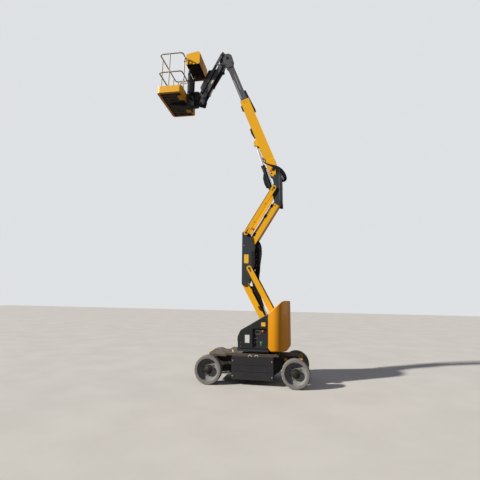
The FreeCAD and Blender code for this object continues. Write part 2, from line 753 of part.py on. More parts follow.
def platform_mount():
    """Levelled bracket at the end of the jib with the upright barrel of the platform's rotator."""
    lx, lz = jib_low_end
    hx, hz = jib_high_end
    low, high = swing_z
    cheek = plate([(lx - 48, lz - 50, 46), (lx + 40, lz - 62, 40), (swing_x - 70, low + 10, 10),
                   (swing_x - 70, high - 30, 10), (hx + 60, high - 30, 8), (hx + 46, hz + 44, 40),
                   (hx - 44, hz + 44, 40)], head_y)
    pins = [pin(jib_low_end, jib_pin_r, (-jib_beam_y[1] - 8, jib_beam_y[1] + 8))]
    stubs = both(pin(jib_high_end, jib_pin_r, (head_y[1] - 1, jib_link_y[1] + 8)))
    barrel = post(swing_x, 0, rotator_r, swing_z)
    web = box((swing_x - 100, swing_x - 40), (-head_y[0] - 1, head_y[0] + 1), (low + 10, high - 30))
    return join(both(cheek) + pins + stubs + [barrel, web])


def platform_support():
    """Clevis round the rotator, the upright panel and the tapered beam under the floor."""
    x1 = platform_x[0]
    low, high = swing_z
    plates = []
    for z in ((high + pin_gap, high + leaf_wall), (low - leaf_wall, low - pin_gap)):
        leaf = box((swing_x, x1 - 40), (-leaf_half, leaf_half), z)
        plates.append(leaf.fuse(post(swing_x, 0, leaf_half, z)))
    panel = box((x1 - 75, x1 - 22), (-250, 250), (low - leaf_wall, rail_mid + 200))
    arms = [box((x1 - 75, x1 - 35), (s * 220 - 30, s * 220 + 30),
                (rail_mid + 180, console_z[0] + 30 - pin_gap))
            for s in (1, -1)]
    beam = plate([(x1 - 30, low - leaf_wall), (platform_x[1] - 170, floor_z - 45),
                  (platform_x[1] - 170, floor_z),
                  (x1 - 30, floor_z)], (-110, 110))
    return join(plates + [panel, beam] + arms)


def platform_floor():
    """Sheet deck over cross ribs, in an angle frame with round corners."""
    x0, x1 = platform_x
    y, edge = platform_half, 40
    rim_x, rim_y = (x0 + edge, x1 - edge), (-y + edge, y - edge)
    frame = flat(rounded((x0, x1), (-y, y), corner_r), (floor_z, floor_z + 30))
    frame = frame.cut(flat(rounded(rim_x, rim_y, corner_r - edge), (floor_z - 1, floor_z + 31)))
    sheet = box((rim_x[0] - 1, rim_x[1] + 1), (rim_y[0] + 30, rim_y[1] - 30),
                (floor_z + sheet_z[0], floor_z + sheet_z[1]))
    sheet = sheet.fuse(box((rim_x[0] + 30, rim_x[1] - 30), (rim_y[0] - 1, rim_y[1] + 1),
                           (floor_z + sheet_z[0], floor_z + sheet_z[1])))
    ribs = [box((rim_x[0] - 1, rim_x[1] + 1), (at - 5, at + 5), (floor_z + 4, floor_z + sheet_z[0] + 1))
            for at in range(-520, 521, 130)]
    return join([frame, sheet] + ribs)


def toe_boards():
    """Low yellow boards round the floor, open at the gate."""
    x0, x1 = platform_x
    y, wall = platform_half, 6
    z = (floor_z, floor_z + toe_height)
    outer = flat(rounded((x0 - wall, x1 + wall), (-y - wall, y + wall), corner_r + wall), z)
    ring = outer.cut(flat(rounded((x0, x1), (-y, y), corner_r), (z[0] - 1, z[1] + 1)))
    return ring.cut(box(gate_x, (-y - 10, -y + 10), (floor_z + 30, z[1] + 1)))


def rail_lines():
    """Centre lines of the guard rail in plan: x of both long sides, y of the ends, foot of the posts."""
    return platform_x[0] + rail_r, platform_x[1] - rail_r, platform_half - rail_r, floor_z + 30


def hinge_levels():
    """Undersides of the gate's two hinge sleeves."""
    return (floor_z + 240, rail_top - 260)


def gate_hinges():
    """Pins on the gate's post, each held by a leaf above and below its sleeve."""
    y = -platform_half + rail_r
    pieces = []
    for z in hinge_levels():
        pieces.append(post(hinge_x, y, hinge_pin_r, (z - 8, z + hinge_height + 8)))
        for low in (z - hinge_gap - 8, z + hinge_height + hinge_gap):
            leaf = box((hinge_x, platform_x[1] - gate_post), (y - 9, y + 9), (low, low + 8))
            pieces.append(leaf.fuse(post(hinge_x, y, hinge_r, (low, low + 8))))
    return pieces


def rails_left():
    """Guard rail round the closed end: two rails with their corner bends, and a post."""
    x0, x1, y, z0 = rail_lines()
    bars = [bent([(x0, y - corner_r, z), (x0, y, z, corner_r), (x1, y, z, corner_r), (x1, y - corner_r, z)],
                 rail_r)
            for z in (rail_top, rail_mid)]
    return join(bars + [post(platform_x[0] + near_post_x, y, post_r, (z0, rail_top))])


def rails_right():
    """Guard rail round the gate end: top rail, stubs of the middle rail, posts and hinges."""
    x0, x1, y, z0 = rail_lines()
    ends = (platform_x[0] + gate_post, platform_x[1] - gate_post)
    top = bent([(x0, corner_r - y, rail_top), (x0, -y, rail_top, corner_r), (x1, -y, rail_top, corner_r),
                (x1, corner_r - y, rail_top)], rail_r)
    bars = [top] + [post(x, -y, post_r, (z0, rail_top)) for x in ends]
    for x, side in ((x0, 1), (x1, -1)):
        bars.append(bent([(x, corner_r - y, rail_mid), (x, -y, rail_mid, corner_r),
                          (x + side * (corner_r + 2), -y, rail_mid)], rail_r))
    return join(bars + gate_hinges())


def straight_rails(x, y_end, posts):
    """Both rails along a long side and their posts."""
    z0 = rail_lines()[3]
    bars = [tube((x, -y_end, z), (x, y_end, z), rail_r) for z in (rail_top, rail_mid)]
    return bars + [post(x, y, post_r, (z0, rail_top)) for y in posts]


def rails_outer():
    x1, y = rail_lines()[1:3]
    return join(straight_rails(x1, y - corner_r, (-outer_post_y, outer_post_y)))


def rails_inner():
    """Guard rail beside the console, with the harness eyes and a hoop for the hoses."""
    x0, x1, y, z0 = rail_lines()
    bars = straight_rails(x0, y - corner_r, (-inner_post_y, inner_post_y))
    hoop = bent([(x0, inner_post_y, rail_top - 20), (x0 - 132, inner_post_y, rail_top - 105, 24),
                 (x0, inner_post_y, rail_top - 155)], 11)
    eyes = []
    for at in (-inner_post_y, inner_post_y):
        eye = plate([(x0, anchor_z - 40), (x0 + 62, anchor_z - 40, 30), (x0 + 62, anchor_z + 40, 30),
                     (x0, anchor_z + 40)],
                    (at - anchor_wall / 2, at + anchor_wall / 2))
        eyes.append(eye.cut(pin((x0 + anchor_reach, anchor_z), anchor_hole_r, (at - 20, at + 20))))
    return join(bars + [hoop] + eyes)


def gate():
    """Inward gate in the right end, with its own two rails."""
    x0, x1 = gate_x
    y = -platform_half + rail_r
    z0, z1 = floor_z + 90, rail_top - 60
    bars = [post(x, y, rail_r - 4, (z0, z1)) for x in (x0 + 20, x1 - 20)]
    bars += [tube((x0 + 20, y, z), (x1 - 20, y, z), rail_r - 5) for z in (z0 + 14, rail_mid, z1 - 14)]
    sleeves = []
    for z in hinge_levels():
        sleeve = post(hinge_x, y, hinge_r, (z, z + hinge_height))
        sleeve = sleeve.fuse(box((x1 - 24, hinge_x), (y - 6, y + 6), (z + 8, z + hinge_height - 8)))
        sleeves.append(sleeve.cut(post(hinge_x, y, hinge_pin_r + pin_gap, (z - 1, z + hinge_height + 1))))
    return join(bars + sleeves)


def console():
    """Sheet cover over the platform controls, open underneath."""
    x, z, y = console_x, console_z, console_half
    outer = plate([(x[0], z[0], 50), (x[1], z[0], 20), (x[1], z[1] - 60, 60), (x[0] + 40, z[1], 60),
                   (x[0], z[1] - 40, 30)], (-y, y))
    inner = plate([(x[0] + 12, z[0] - 40), (x[1] - 12, z[0] - 40), (x[1] - 12, z[1] - 70, 50),
                   (x[0] + 50, z[1] - 12, 50), (x[0] + 12, z[1] - 50, 20)], (-y + 12, y - 12))
    return outer.cut(inner)


def console_box():
    """Control box under the cover."""
    x, z = console_x, console_z
    back = x[1] - 12 - pin_gap
    return plate([(x[0] + 60, z[0] + 30, 12), (back, z[0] + 30, 12), (back, z[0] + 180, 20),
                  (x[0] + 60, z[0] + 230, 20)], (-console_half + 60, console_half - 60))


def barrel(size, angle):
    """Cylinder tube with its foot eye at the base pin and a gland at its mouth."""
    length, eye = size["barrel"], size["eye_r"]
    body = tube((eye * 0.7, 0, 0), (length, 0, 0), size["radius"])
    gland = tube((length - 60, 0, 0), (length, 0, 0), size["radius"] + 6)
    foot = pin((0, 0), eye, (-size["eye_y"], size["eye_y"]))
    whole = join([body, gland, foot])
    whole = whole.cut(pin((0, 0), size["pin"] + pin_gap, (-200, 200)))
    bore = tube((eye + bore_floor, 0, 0), (length + 1, 0, 0), size["rod"] + pin_gap)
    return aimed(whole.cut(bore), size["base"], angle)


def piston(size, angle, reach):
    """Rod from inside the barrel to its eye."""
    start, eye = size["eye_r"] + bore_floor + size["in_stroke"] + 20, size["eye_r"]
    rod = tube((start, 0, 0), (reach - eye * 0.7, 0, 0), size["rod"])
    end = pin((reach, 0), eye, (-size["eye_y"], size["eye_y"]))
    end = end.cut(pin((reach, 0), size["pin"], (-200, 200)))
    return aimed(join([rod, end]), size["base"], angle)


def cylinders():
    """Barrel and rod of the three hydraulic cylinders, each aimed from its base pin at its eye."""
    big = {"eye_r": 50, "eye_y": 50, "pin": pin_r}
    small = {"eye_r": 32, "eye_y": 22, "pin": jib_pin_r}
    table = {
        "riser": dict(big, base=riser_base, to=riser_eye, barrel=riser_barrel, radius=52, rod=30,
                      in_stroke=385),
        "lift": dict(big, base=lift_base, to=lift_eye, barrel=lift_barrel, radius=50, rod=28, in_stroke=510),
        "jib": dict(small, base=jib_base, to=jib_eye, barrel=jib_barrel, radius=32, rod=18, in_stroke=20),
    }
    parts = {}
    for name, size in table.items():
        reach, angle = span(size["base"], size["to"])
        parts[name + "_barrel"] = barrel(size, angle)
        parts[name + "_rod"] = piston(size, angle, reach)
    return parts


def make_parts():
    parts = {
        "chassis_frame": chassis_frame(), "deck": deck(), "tie_downs": tie_downs(),
        "tray_left": tray(), "tray_right": mirrored(tray()),
        "drive_hub_left": drive_hub(), "drive_hub_right": mirrored(drive_hub()),
        "slew_ring": slew_ring(),
        "knuckle_left": knuckle_piece(), "knuckle_right": mirrored(knuckle_piece()),
        "tie_rod": tie_rod(),
        "turret_frame": turret_frame(), "hood_left": side_cover(), "hood_right": mirrored(side_cover()),
        "control_tray_left": control_panel(), "control_tray_right": mirrored(control_panel()),
        "counterweight": tail(),
        "front_link": aimed(two_bars(lower_length, front_link_half, front_link_y, pin_r + pin_gap, (1150,)),
                            pin_a, lower_angle),
        "rear_link": aimed(two_bars(lower_length, rear_link_half, rear_link_y, pin_r + pin_gap, (320, 640)),
                           pin_d, lower_angle),
        "mid_upright": mid_upright(), "hose_cover": hose_cover(),
        "upper_link": aimed(two_bars(upper_length, upper_link_half, upper_link_y, pin_r + pin_gap, (200,),
                                     26),
                            pin_e, upper_angle),
        "upper_arm": upper_arm(), "top_upright": top_upright(),
        "boom_base": boom_base(), "boom_trough": boom_trough(), "boom_extension": boom_extension(),
        "jib_head": jib_head(), "jib_beam": jib_beam(), "jib_link": jib_link(), "hose_guard": hose_guard(),
        "platform_mount": platform_mount(), "platform_support": platform_support(),
        "platform_floor": platform_floor(), "toe_boards": toe_boards(),
        "rails_left": rails_left(), "rails_right": rails_right(),
        "rails_outer": rails_outer(), "rails_inner": rails_inner(),
        "gate": gate(), "console_cover": console(), "console_box": console_box(),
    }
    for name, x, side in (("front_left", axle_x, 1), ("front_right", axle_x, -1),
                          ("rear_left", -axle_x, 1), ("rear_right", -axle_x, -1)):
        parts.update(wheel_parts(name, x, side))
    parts.update(cylinders())
    return parts


os.makedirs("parts", exist_ok=True)
all_parts = make_parts()
for name, shape in all_parts.items():
    moved(shape, slew_x).exportStep("parts/" + name + ".step")
    count = len(shape.Solids)
    print(name, "solids", count, "valid", shape.isValid(), "litres", round(shape.Volume / 1e6, 2))
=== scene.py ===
# %% [markdown]
# # An articulating boom lift
# The machine is a four-wheeled chassis with a turret, two parallelogram risers, a telescoping boom,
# a jib and a platform with a guard rail. The frame holds every rigid piece at its real size. This
# lesson dresses that frame: it gives each piece a finish and adds what is too small or too soft for
# the frame, such as bolts, hoses, blank plates, controls and the mesh of the platform floor.

# %% Load the frame
import json
import math
import bmesh
import bpy
import numpy as np
from mathutils import Matrix, Vector


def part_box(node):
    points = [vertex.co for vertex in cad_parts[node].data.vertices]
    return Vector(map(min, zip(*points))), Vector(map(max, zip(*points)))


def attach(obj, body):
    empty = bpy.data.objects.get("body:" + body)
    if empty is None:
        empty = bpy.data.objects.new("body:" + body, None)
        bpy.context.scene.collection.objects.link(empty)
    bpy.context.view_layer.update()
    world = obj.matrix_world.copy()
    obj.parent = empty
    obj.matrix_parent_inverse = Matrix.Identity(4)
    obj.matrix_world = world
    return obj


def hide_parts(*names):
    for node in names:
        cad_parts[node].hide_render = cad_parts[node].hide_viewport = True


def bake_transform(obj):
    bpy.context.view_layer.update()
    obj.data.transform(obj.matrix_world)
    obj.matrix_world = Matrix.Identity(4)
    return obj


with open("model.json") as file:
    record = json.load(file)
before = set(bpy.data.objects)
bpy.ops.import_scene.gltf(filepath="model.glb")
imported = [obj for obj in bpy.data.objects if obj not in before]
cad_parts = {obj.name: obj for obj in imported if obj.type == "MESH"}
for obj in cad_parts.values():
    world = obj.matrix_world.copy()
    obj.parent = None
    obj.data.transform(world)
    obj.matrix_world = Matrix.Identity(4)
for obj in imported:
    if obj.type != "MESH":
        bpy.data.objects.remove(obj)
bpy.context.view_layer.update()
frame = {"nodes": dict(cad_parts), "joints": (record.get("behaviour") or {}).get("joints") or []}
nodes = frame["nodes"]
joints = {joint["name"]: joint for joint in frame["joints"]}


# %% [markdown]
# ## Places come from the frame
# A hose or a bolt has to sit on what carries it, so no place is typed twice. Each pin of the linkage
# is the place of a joint. A link, the boom or the jib is a straight member between two pins, and
# `Member` turns a distance along it, a height above its middle line and a y value into a point.

# %% Pins and members
def at(joint):
    """Place of a joint's pin."""
    return np.array(joints[joint]["pos_m"], float)


class Member:
    """A straight member from a pin towards another point in the XZ plane."""

    def __init__(self, start, end):
        self.start = np.array(start, float)
        self.u = np.array(end, float) - self.start
        self.u[1] = 0
        self.length = float(np.linalg.norm(self.u))
        self.u /= self.length
        self.v = np.array([-self.u[2], 0, self.u[0]])

    def point(self, along, up=0.0, y=0.0):
        """Start plus along times its direction plus up times its upward normal, at a given y."""
        return self.start + along * self.u + up * self.v + np.array([0, y, 0])


pin_a, pin_b = at("riser_lift"), at("mid_level")
pin_d, pin_e, pin_h = at("rear_link_turn"), at("upper_link_turn"), at("upper_arm_turn")
pin_g, pivot = at("top_level"), at("boom_lift")
pin_c = pin_d + pin_b - pin_a
pin_f = pin_e + pin_g - pin_h
knuckle, jib_low, jib_high = at("jib_level"), at("jib_lift"), at("jib_link_turn")
jib_low_end = at("mount_level")
jib_high_end = jib_high + jib_low_end - jib_low
front_link, rear_link = Member(pin_a, pin_b), Member(pin_d, pin_c)
upper_arm, upper_link = Member(pin_h, pin_g), Member(pin_e, pin_f)
boom = Member(pivot, pivot + np.array(joints["telescope"]["axis"], float))
jib, jib_upper = Member(jib_low, jib_low_end), Member(jib_high, jib_high_end)
print("riser", round(front_link.length, 3), "arm", round(upper_arm.length, 3), "jib", round(jib.length, 3))


# %% [markdown]
# ## Surfaces as functions on a grid
# Every new piece is a surface worked out with numpy. A grid of points has rows along the piece and
# columns round it, so its faces follow from the grid's shape alone. `slab` carries a flat profile
# through its thickness with a small chamfer at both faces, `lathe` turns a profile about an axis, and
# `tube` carries a circle along a path. A shape is a pair of arrays, points and faces, so many shapes
# can be gathered into one mesh.

# %% Grids, slabs, lathes and tubes
def grid_faces(rows, cols):
    """Quads between neighbouring rows of rings; the last column meets the first."""
    row, col = np.arange(rows - 1)[:, None] * cols, np.arange(cols)[None, :]
    step = (col + 1) % cols
    quads = np.stack([row + col, row + step, row + cols + step, row + cols + col], -1)
    return quads.reshape(-1, 4)


def rings(points, caps=True):
    """A closed skin over an array of rings (rows, columns, 3), with a cap at each end."""
    rows, cols = points.shape[:2]
    faces = grid_faces(rows, cols).tolist()
    if caps:
        faces.append(list(range(cols))[::-1])
        faces.append([(rows - 1) * cols + i for i in range(cols)])
    return points.reshape(-1, 3), faces


def circle(radius, count=20):
    """Points on a circle, counted round once."""
    turn = np.arange(count) * 2 * np.pi / count
    return radius * np.stack([np.cos(turn), np.sin(turn)], -1)


def rounded(width, height, radius, steps=4):
    """A rectangle about the origin whose corners are quarter circles of that radius."""
    turn = np.linspace(0, np.pi / 2, steps + 1)
    arc = radius * np.stack([np.cos(turn), np.sin(turn)], -1)
    points = []
    for quarter, (sx, sy) in enumerate(((1, 1), (-1, 1), (-1, -1), (1, -1))):
        c, s = math.cos(quarter * math.pi / 2), math.sin(quarter * math.pi / 2)
        centre = np.array([sx * (width / 2 - radius), sy * (height / 2 - radius)])
        points.append(centre + arc @ np.array([[c, s], [-s, c]]))
    return np.concatenate(points)


def inset(profile, distance):
    """The profile drawn in by a distance along the inward normal at each of its points."""
    ahead, behind = np.roll(profile, -1, 0), np.roll(profile, 1, 0)
    tangent = ahead - behind
    normal = np.stack([-tangent[:, 1], tangent[:, 0]], -1)
    normal /= np.maximum(np.linalg.norm(normal, axis=1, keepdims=True), 1e-9)
    return profile + distance * normal


def slab(profile, depth, chamfer=0.001):
    """A profile carried along +Z from 0 to depth; the chamfer draws it in at both ends."""
    rows = [(chamfer, 0), (0, chamfer), (0, depth - chamfer), (chamfer, depth)]
    layers = []
    for draw_in, height in rows:
        flat = inset(profile, draw_in)
        layers.append(np.column_stack([flat, np.full(len(flat), height)]))
    return rings(np.array(layers))


def lathe(profile, count=28):
    """A profile of (radius, height) points turned about the Z axis."""
    profile = np.array(profile, float)
    ring = circle(1, count)
    layers = np.zeros((len(profile), count, 3))
    layers[:, :, :2] = profile[:, None, :1] * ring[None]
    layers[:, :, 2] = profile[:, 1:]
    return rings(layers)


def frames_along(path):
    """Tangent and two normals at each point, turned as little as possible from one to the next."""
    tangent = np.gradient(path, axis=0)
    tangent /= np.linalg.norm(tangent, axis=1, keepdims=True)
    start = np.array([0, 1.0, 0]) if abs(tangent[0, 1]) < 0.9 else np.array([1.0, 0, 0])
    normals = [start - tangent[0] * (start @ tangent[0])]
    for step in tangent[1:]:
        last = normals[-1] / np.linalg.norm(normals[-1])
        normals.append(last - step * (last @ step))
    normal = np.array(normals)
    normal /= np.linalg.norm(normal, axis=1, keepdims=True)
    return tangent, normal, np.cross(tangent, normal)


def carried(profile, path):
    """A profile carried along a path; a list of profiles gives each row its own."""
    tangent, normal, other = frames_along(path)
    profile = np.broadcast_to(profile, (len(path),) + np.shape(profile)[-2:])
    return rings(path[:, None] + profile[:, :, :1] * normal[:, None] + profile[:, :, 1:] * other[:, None])


def smooth(points, per_span=8):
    """A curve through the points: Catmull-Rom, a cubic whose slope at each point is half the
    step between its neighbours."""
    points = np.array(points, float)
    padded = np.concatenate([2 * points[:1] - points[1:2], points, 2 * points[-1:] - points[-2:-1]])
    t = np.linspace(0, 1, per_span, endpoint=False)[:, None]
    spans = []
    for a, b, c, d in zip(padded[:-3], padded[1:-2], padded[2:-1], padded[3:]):
        curve = 2 * b + (c - a) * t + (2 * a - 5 * b + 4 * c - d) * t**2 + (3 * b - a - 3 * c + d) * t**3
        spans.append(curve / 2)
    return np.concatenate(spans + [points[-1:]])


def hose(points, radius, per_span=8, sides=10):
    """A round hose through the points."""
    return carried(circle(radius, sides), smooth(points, per_span))


def rod(start, end, radius, sides=16):
    """A round bar between two points with a small chamfer at its ends."""
    start, end = np.array(start, float), np.array(end, float)
    length = np.linalg.norm(end - start)
    edge = min(radius * 0.25, length * 0.2)
    profile = [(radius - edge, 0), (radius, edge), (radius, length - edge), (radius - edge, length)]
    return set_on(lathe(profile, sides), start, end - start)


def set_on(shape, place, normal=(0, 0, 1), spin=0.0):
    """A shape drawn on the XY plane, turned so that its +Z runs along normal, and moved to place."""
    points, faces = shape
    z = np.array(normal, float) / np.linalg.norm(normal)
    guide = np.array([0, 0, 1.0]) if abs(z[2]) < 0.9 else np.array([1.0, 0, 0])
    x = np.cross(guide, z)
    x /= np.linalg.norm(x)
    y = np.cross(z, x)
    c, s = math.cos(spin), math.sin(spin)
    basis = np.array([c * x + s * y, c * y - s * x, z])
    return points @ basis + np.array(place, float), faces


def gathered(shapes):
    """Many shapes as one pair of arrays."""
    points, faces, offset = [], [], 0
    for shape_points, shape_faces in shapes:
        points.append(shape_points)
        faces.extend([[i + offset for i in face] for face in shape_faces])
        offset += len(shape_points)
    return np.concatenate(points), faces


def mirror_y(shape):
    """The shape on the other side of the machine, its faces still pointing outwards."""
    points, faces = shape
    return points * np.array([1, -1, 1]), [face[::-1] for face in faces]


def both_sides(shapes):
    """The shapes and their mirror images."""
    return shapes + [mirror_y(shape) for shape in shapes]


# %% A piece on a body
finishes = {}
made = []


def piece(name, shapes, finish, body=None, crease=40):
    """Makes one mesh of the shapes, faces outwards, and lets it ride on a body."""
    points, faces = gathered(shapes)
    mesh = bpy.data.meshes.new(name)
    mesh.from_pydata(points.tolist(), [], faces)
    shell = bmesh.new()
    shell.from_mesh(mesh)
    bmesh.ops.remove_doubles(shell, verts=shell.verts, dist=1e-6)
    bmesh.ops.recalc_face_normals(shell, faces=shell.faces)
    shell.to_mesh(mesh)
    shell.free()
    mesh.shade_smooth()
    mesh.set_sharp_from_angle(angle=math.radians(crease))
    thing = bpy.data.objects.new(name, mesh)
    bpy.context.scene.collection.objects.link(thing)
    mesh.materials.append(finishes[finish])
    if body:
        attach(thing, body)
    made.append((name, len(mesh.polygons)))
    return thing


# %% [markdown]
# ## The camera
# The photograph was taken from the left of the machine, about nine metres away at eye height, with
# the lens tipped up by 13 degrees. The numbers below came from fitting the wheels, the corners of
# the platform and those of the left tray to their places in the picture. A small shift of the lens
# keeps the picture's own centre.

# %% Camera
picture = 480
focal_px = 367.5
centre_px = (235.6, 212.2)
eye = np.array([-1.754, 8.988, 1.873])
pitch_up, heading, roll = math.radians(12.825), math.radians(10.05), math.radians(0.966)


def aim(pitch, turn, tilt):
    """Right, up and forward of a camera that looks along -Y, turned, pitched up and rolled."""
    level = np.array([math.sin(turn), -math.cos(turn), 0])
    right = np.array([level[1], -level[0], 0])
    forward = math.cos(pitch) * level + np.array([0, 0, math.sin(pitch)])
    up = -math.sin(pitch) * level + np.array([0, 0, math.cos(pitch)])
    return (math.cos(tilt) * right + math.sin(tilt) * up,
            math.cos(tilt) * up - math.sin(tilt) * right, forward)


right, up, forward = aim(pitch_up, heading, roll)
lens = bpy.data.cameras.new("camera")
lens.sensor_width = 36
lens.lens = focal_px / picture * lens.sensor_width
lens.shift_x = (picture / 2 - centre_px[0]) / picture
lens.shift_y = (centre_px[1] - picture / 2) / picture
lens.clip_end = 200
camera = bpy.data.objects.new("camera", lens)
camera.matrix_world = Matrix([
    [right[0], up[0], -forward[0], eye[0]],
    [right[1], up[1], -forward[1], eye[1]],
    [right[2], up[2], -forward[2], eye[2]],
    [0, 0, 0, 1],
])
bpy.context.scene.collection.objects.link(camera)
bpy.context.scene.camera = camera


def seen_at(point):
    """Pixel of a point in the picture."""
    ray = np.array(point, float) - eye
    depth = ray @ forward
    return (centre_px[0] + focal_px * (ray @ right) / depth, centre_px[1] - focal_px * (ray @ up) / depth)


print("pivot is seen at", np.round(seen_at(pivot), 1), "knuckle at", np.round(seen_at(knuckle), 1))


# %% [markdown]
# ## Light and floor
# The machine stands in a low, clear sun from the left, so lit faces are bright and the others far
# darker. The studio keeps that balance with a sun from the left, a weak pale blue world that fills
# the shade, and a broad warm lamp from the right and behind that reaches the tail. To the camera the
# world is a plain pale backdrop. The floor is pale to the camera too, but sends back much less light.

# %% Light
def split_by_camera(tree, seen, cast, target):
    """Mixes two shaders: the first for rays from the camera, the second for rays of light."""
    rays = tree.nodes.new("ShaderNodeLightPath")
    mix = tree.nodes.new("ShaderNodeMixShader")
    tree.links.new(rays.outputs["Is Camera Ray"], mix.inputs["Fac"])
    tree.links.new(cast.outputs[0], mix.inputs[1])
    tree.links.new(seen.outputs[0], mix.inputs[2])
    tree.links.new(mix.outputs[0], target)


bpy.context.scene.view_settings.view_transform = "Standard"
world = bpy.data.worlds.new("studio")
bpy.context.scene.world = world
world.use_nodes = True
sky = world.node_tree.nodes["Background"]
sky.inputs["Color"].default_value = (0.78, 0.84, 1.0, 1)
sky.inputs["Strength"].default_value = 0.20
backdrop = world.node_tree.nodes.new("ShaderNodeBackground")
backdrop.inputs["Color"].default_value = (0.80, 0.82, 0.84, 1)
backdrop.inputs["Strength"].default_value = 0.92
split_by_camera(world.node_tree, backdrop, sky, world.node_tree.nodes["World Output"].inputs["Surface"])


def far_lamp(name, energy, spread, colour, towards):
    """A lamp at no place: its light travels along one direction, softened by its spread in degrees."""
    lamp = bpy.data.lights.new(name, "SUN")
    lamp.energy, lamp.angle, lamp.color = energy, math.radians(spread), colour
    thing = bpy.data.objects.new(name, lamp)
    thing.rotation_mode = "QUATERNION"
    thing.rotation_quaternion = Vector(towards).to_track_quat("-Z", "Y")
    bpy.context.scene.collection.objects.link(thing)


far_lamp("sun", 4.9, 2.5, (1.0, 0.94, 0.84), (-0.74, -0.49, -0.46))
far_lamp("warm_fill", 0.48, 40, (1.0, 0.66, 0.40), (0.90, 0.42, -0.10))


# %% [markdown]
# ## Shared finishes as node groups
# Four things happen to every surface of a machine like this. Its colour drifts a little from place
# to place, paint wears thin along edges, pale dust settles on what faces up and near the wheels, and
# a fine grain breaks up the gloss. Each is one shader node group with named sockets, built once.

# %% Helpers for node groups
def new_group(name, inputs, outputs):
    """An empty group with named sockets. Each entry is (name, kind, default)."""
    group = bpy.data.node_groups.new(name, "ShaderNodeTree")
    kinds = {"colour": "NodeSocketColor", "value": "NodeSocketFloat"}
    for socket, kind, default in inputs:
        made_socket = group.interface.new_socket(socket, in_out="INPUT", socket_type=kinds[kind])
        made_socket.default_value = default
    for socket, kind in outputs:
        group.interface.new_socket(socket, in_out="OUTPUT", socket_type=kinds[kind])
    return group, group.nodes.new("NodeGroupInput"), group.nodes.new("NodeGroupOutput")


def math_node(tree, operation, first, second=None, clamp=False):
    """A Math node; each operand is a socket or a number."""
    node = tree.nodes.new("ShaderNodeMath")
    node.operation = operation
    node.use_clamp = clamp
    for i, operand in enumerate((first, second)):
        if operand is None:
            continue
        if isinstance(operand, (int, float)):
            node.inputs[i].default_value = operand
        else:
            tree.links.new(operand, node.inputs[i])
    return node.outputs[0]


def ramp(tree, value, low, high):
    """0 at low, 1 at high, smooth between."""
    node = tree.nodes.new("ShaderNodeMapRange")
    node.interpolation_type = "SMOOTHSTEP"
    node.inputs["From Min"].default_value = low
    node.inputs["From Max"].default_value = high
    tree.links.new(value, node.inputs["Value"])
    return node.outputs["Result"]


def mixed(tree, factor, first, second, blend="MIX"):
    """A colour mix; colours are sockets or (r, g, b, a)."""
    node = tree.nodes.new("ShaderNodeMix")
    node.data_type = "RGBA"
    node.blend_type = blend
    for socket, operand in ((node.inputs["Factor"], factor), (node.inputs["A"], first), (node.inputs["B"], second)):
        if isinstance(operand, (int, float, tuple)):
            socket.default_value = operand
        else:
            tree.links.new(operand, socket)
    return node.outputs["Result"]


def noise(tree, scale, detail=3.0, stretch=(1, 1, 1), rough=0.5):
    """Noise over Object coordinates, stretched along an axis where that is wanted."""
    place = tree.nodes.new("ShaderNodeTexCoord")
    mapping = tree.nodes.new("ShaderNodeMapping")
    mapping.inputs["Scale"].default_value = stretch
    tree.links.new(place.outputs["Object"], mapping.inputs["Vector"])
    node = tree.nodes.new("ShaderNodeTexNoise")
    node.inputs["Scale"].default_value = scale
    node.inputs["Detail"].default_value = detail
    node.inputs["Roughness"].default_value = rough
    tree.links.new(mapping.outputs["Vector"], node.inputs["Vector"])
    return node.outputs["Fac"]


# %% Colour drift
def colour_drift():
    """Colour times 1 plus or minus a share, by wide noise and by faint streaks that run down."""
    group, given, result = new_group("colour_drift",
                                     [("Color", "colour", (0.5, 0.5, 0.5, 1)), ("Amount", "value", 0.1)],
                                     [("Color", "colour"), ("Mask", "value")])
    wide = noise(group, 1.7, 4)
    streak = noise(group, 9.0, 3, (1, 1, 0.12))
    both = math_node(group, "ADD", math_node(group, "MULTIPLY", wide, 0.6),
                     math_node(group, "MULTIPLY", streak, 0.4))
    mask = ramp(group, both, 0.32, 0.68)
    share = math_node(group, "MULTIPLY", mask, given.outputs["Amount"])
    dark = mixed(group, 1.0, given.outputs["Color"], (0.62, 0.60, 0.60, 1), "MULTIPLY")
    group.links.new(mixed(group, share, given.outputs["Color"], dark), result.inputs["Color"])
    group.links.new(mask, result.inputs["Mask"])
    return group


# %% Edge wear
def edge_wear():
    """Where the surface turns sharply, its rounded normal leaves its flat one; noise breaks that up."""
    group, given, result = new_group("edge_wear",
                                     [("Color", "colour", (0.5, 0.5, 0.5, 1)),
                                      ("Bare", "colour", (0.4, 0.38, 0.36, 1)), ("Amount", "value", 0.5)],
                                     [("Color", "colour"), ("Mask", "value")])
    soft = group.nodes.new("ShaderNodeBevel")
    soft.samples = 4
    soft.inputs["Radius"].default_value = 0.006
    flat = group.nodes.new("ShaderNodeNewGeometry")
    dot = group.nodes.new("ShaderNodeVectorMath")
    dot.operation = "DOT_PRODUCT"
    group.links.new(soft.outputs["Normal"], dot.inputs[0])
    group.links.new(flat.outputs["Normal"], dot.inputs[1])
    turn = math_node(group, "SUBTRACT", 1.0, dot.outputs["Value"])
    broken = math_node(group, "MULTIPLY", turn, ramp(group, noise(group, 34.0, 5), 0.42, 0.62))
    mask = math_node(group, "MULTIPLY", ramp(group, broken, 0.02, 0.16), given.outputs["Amount"], clamp=True)
    group.links.new(mixed(group, mask, given.outputs["Color"], given.outputs["Bare"]), result.inputs["Color"])
    group.links.new(mask, result.inputs["Mask"])
    return group


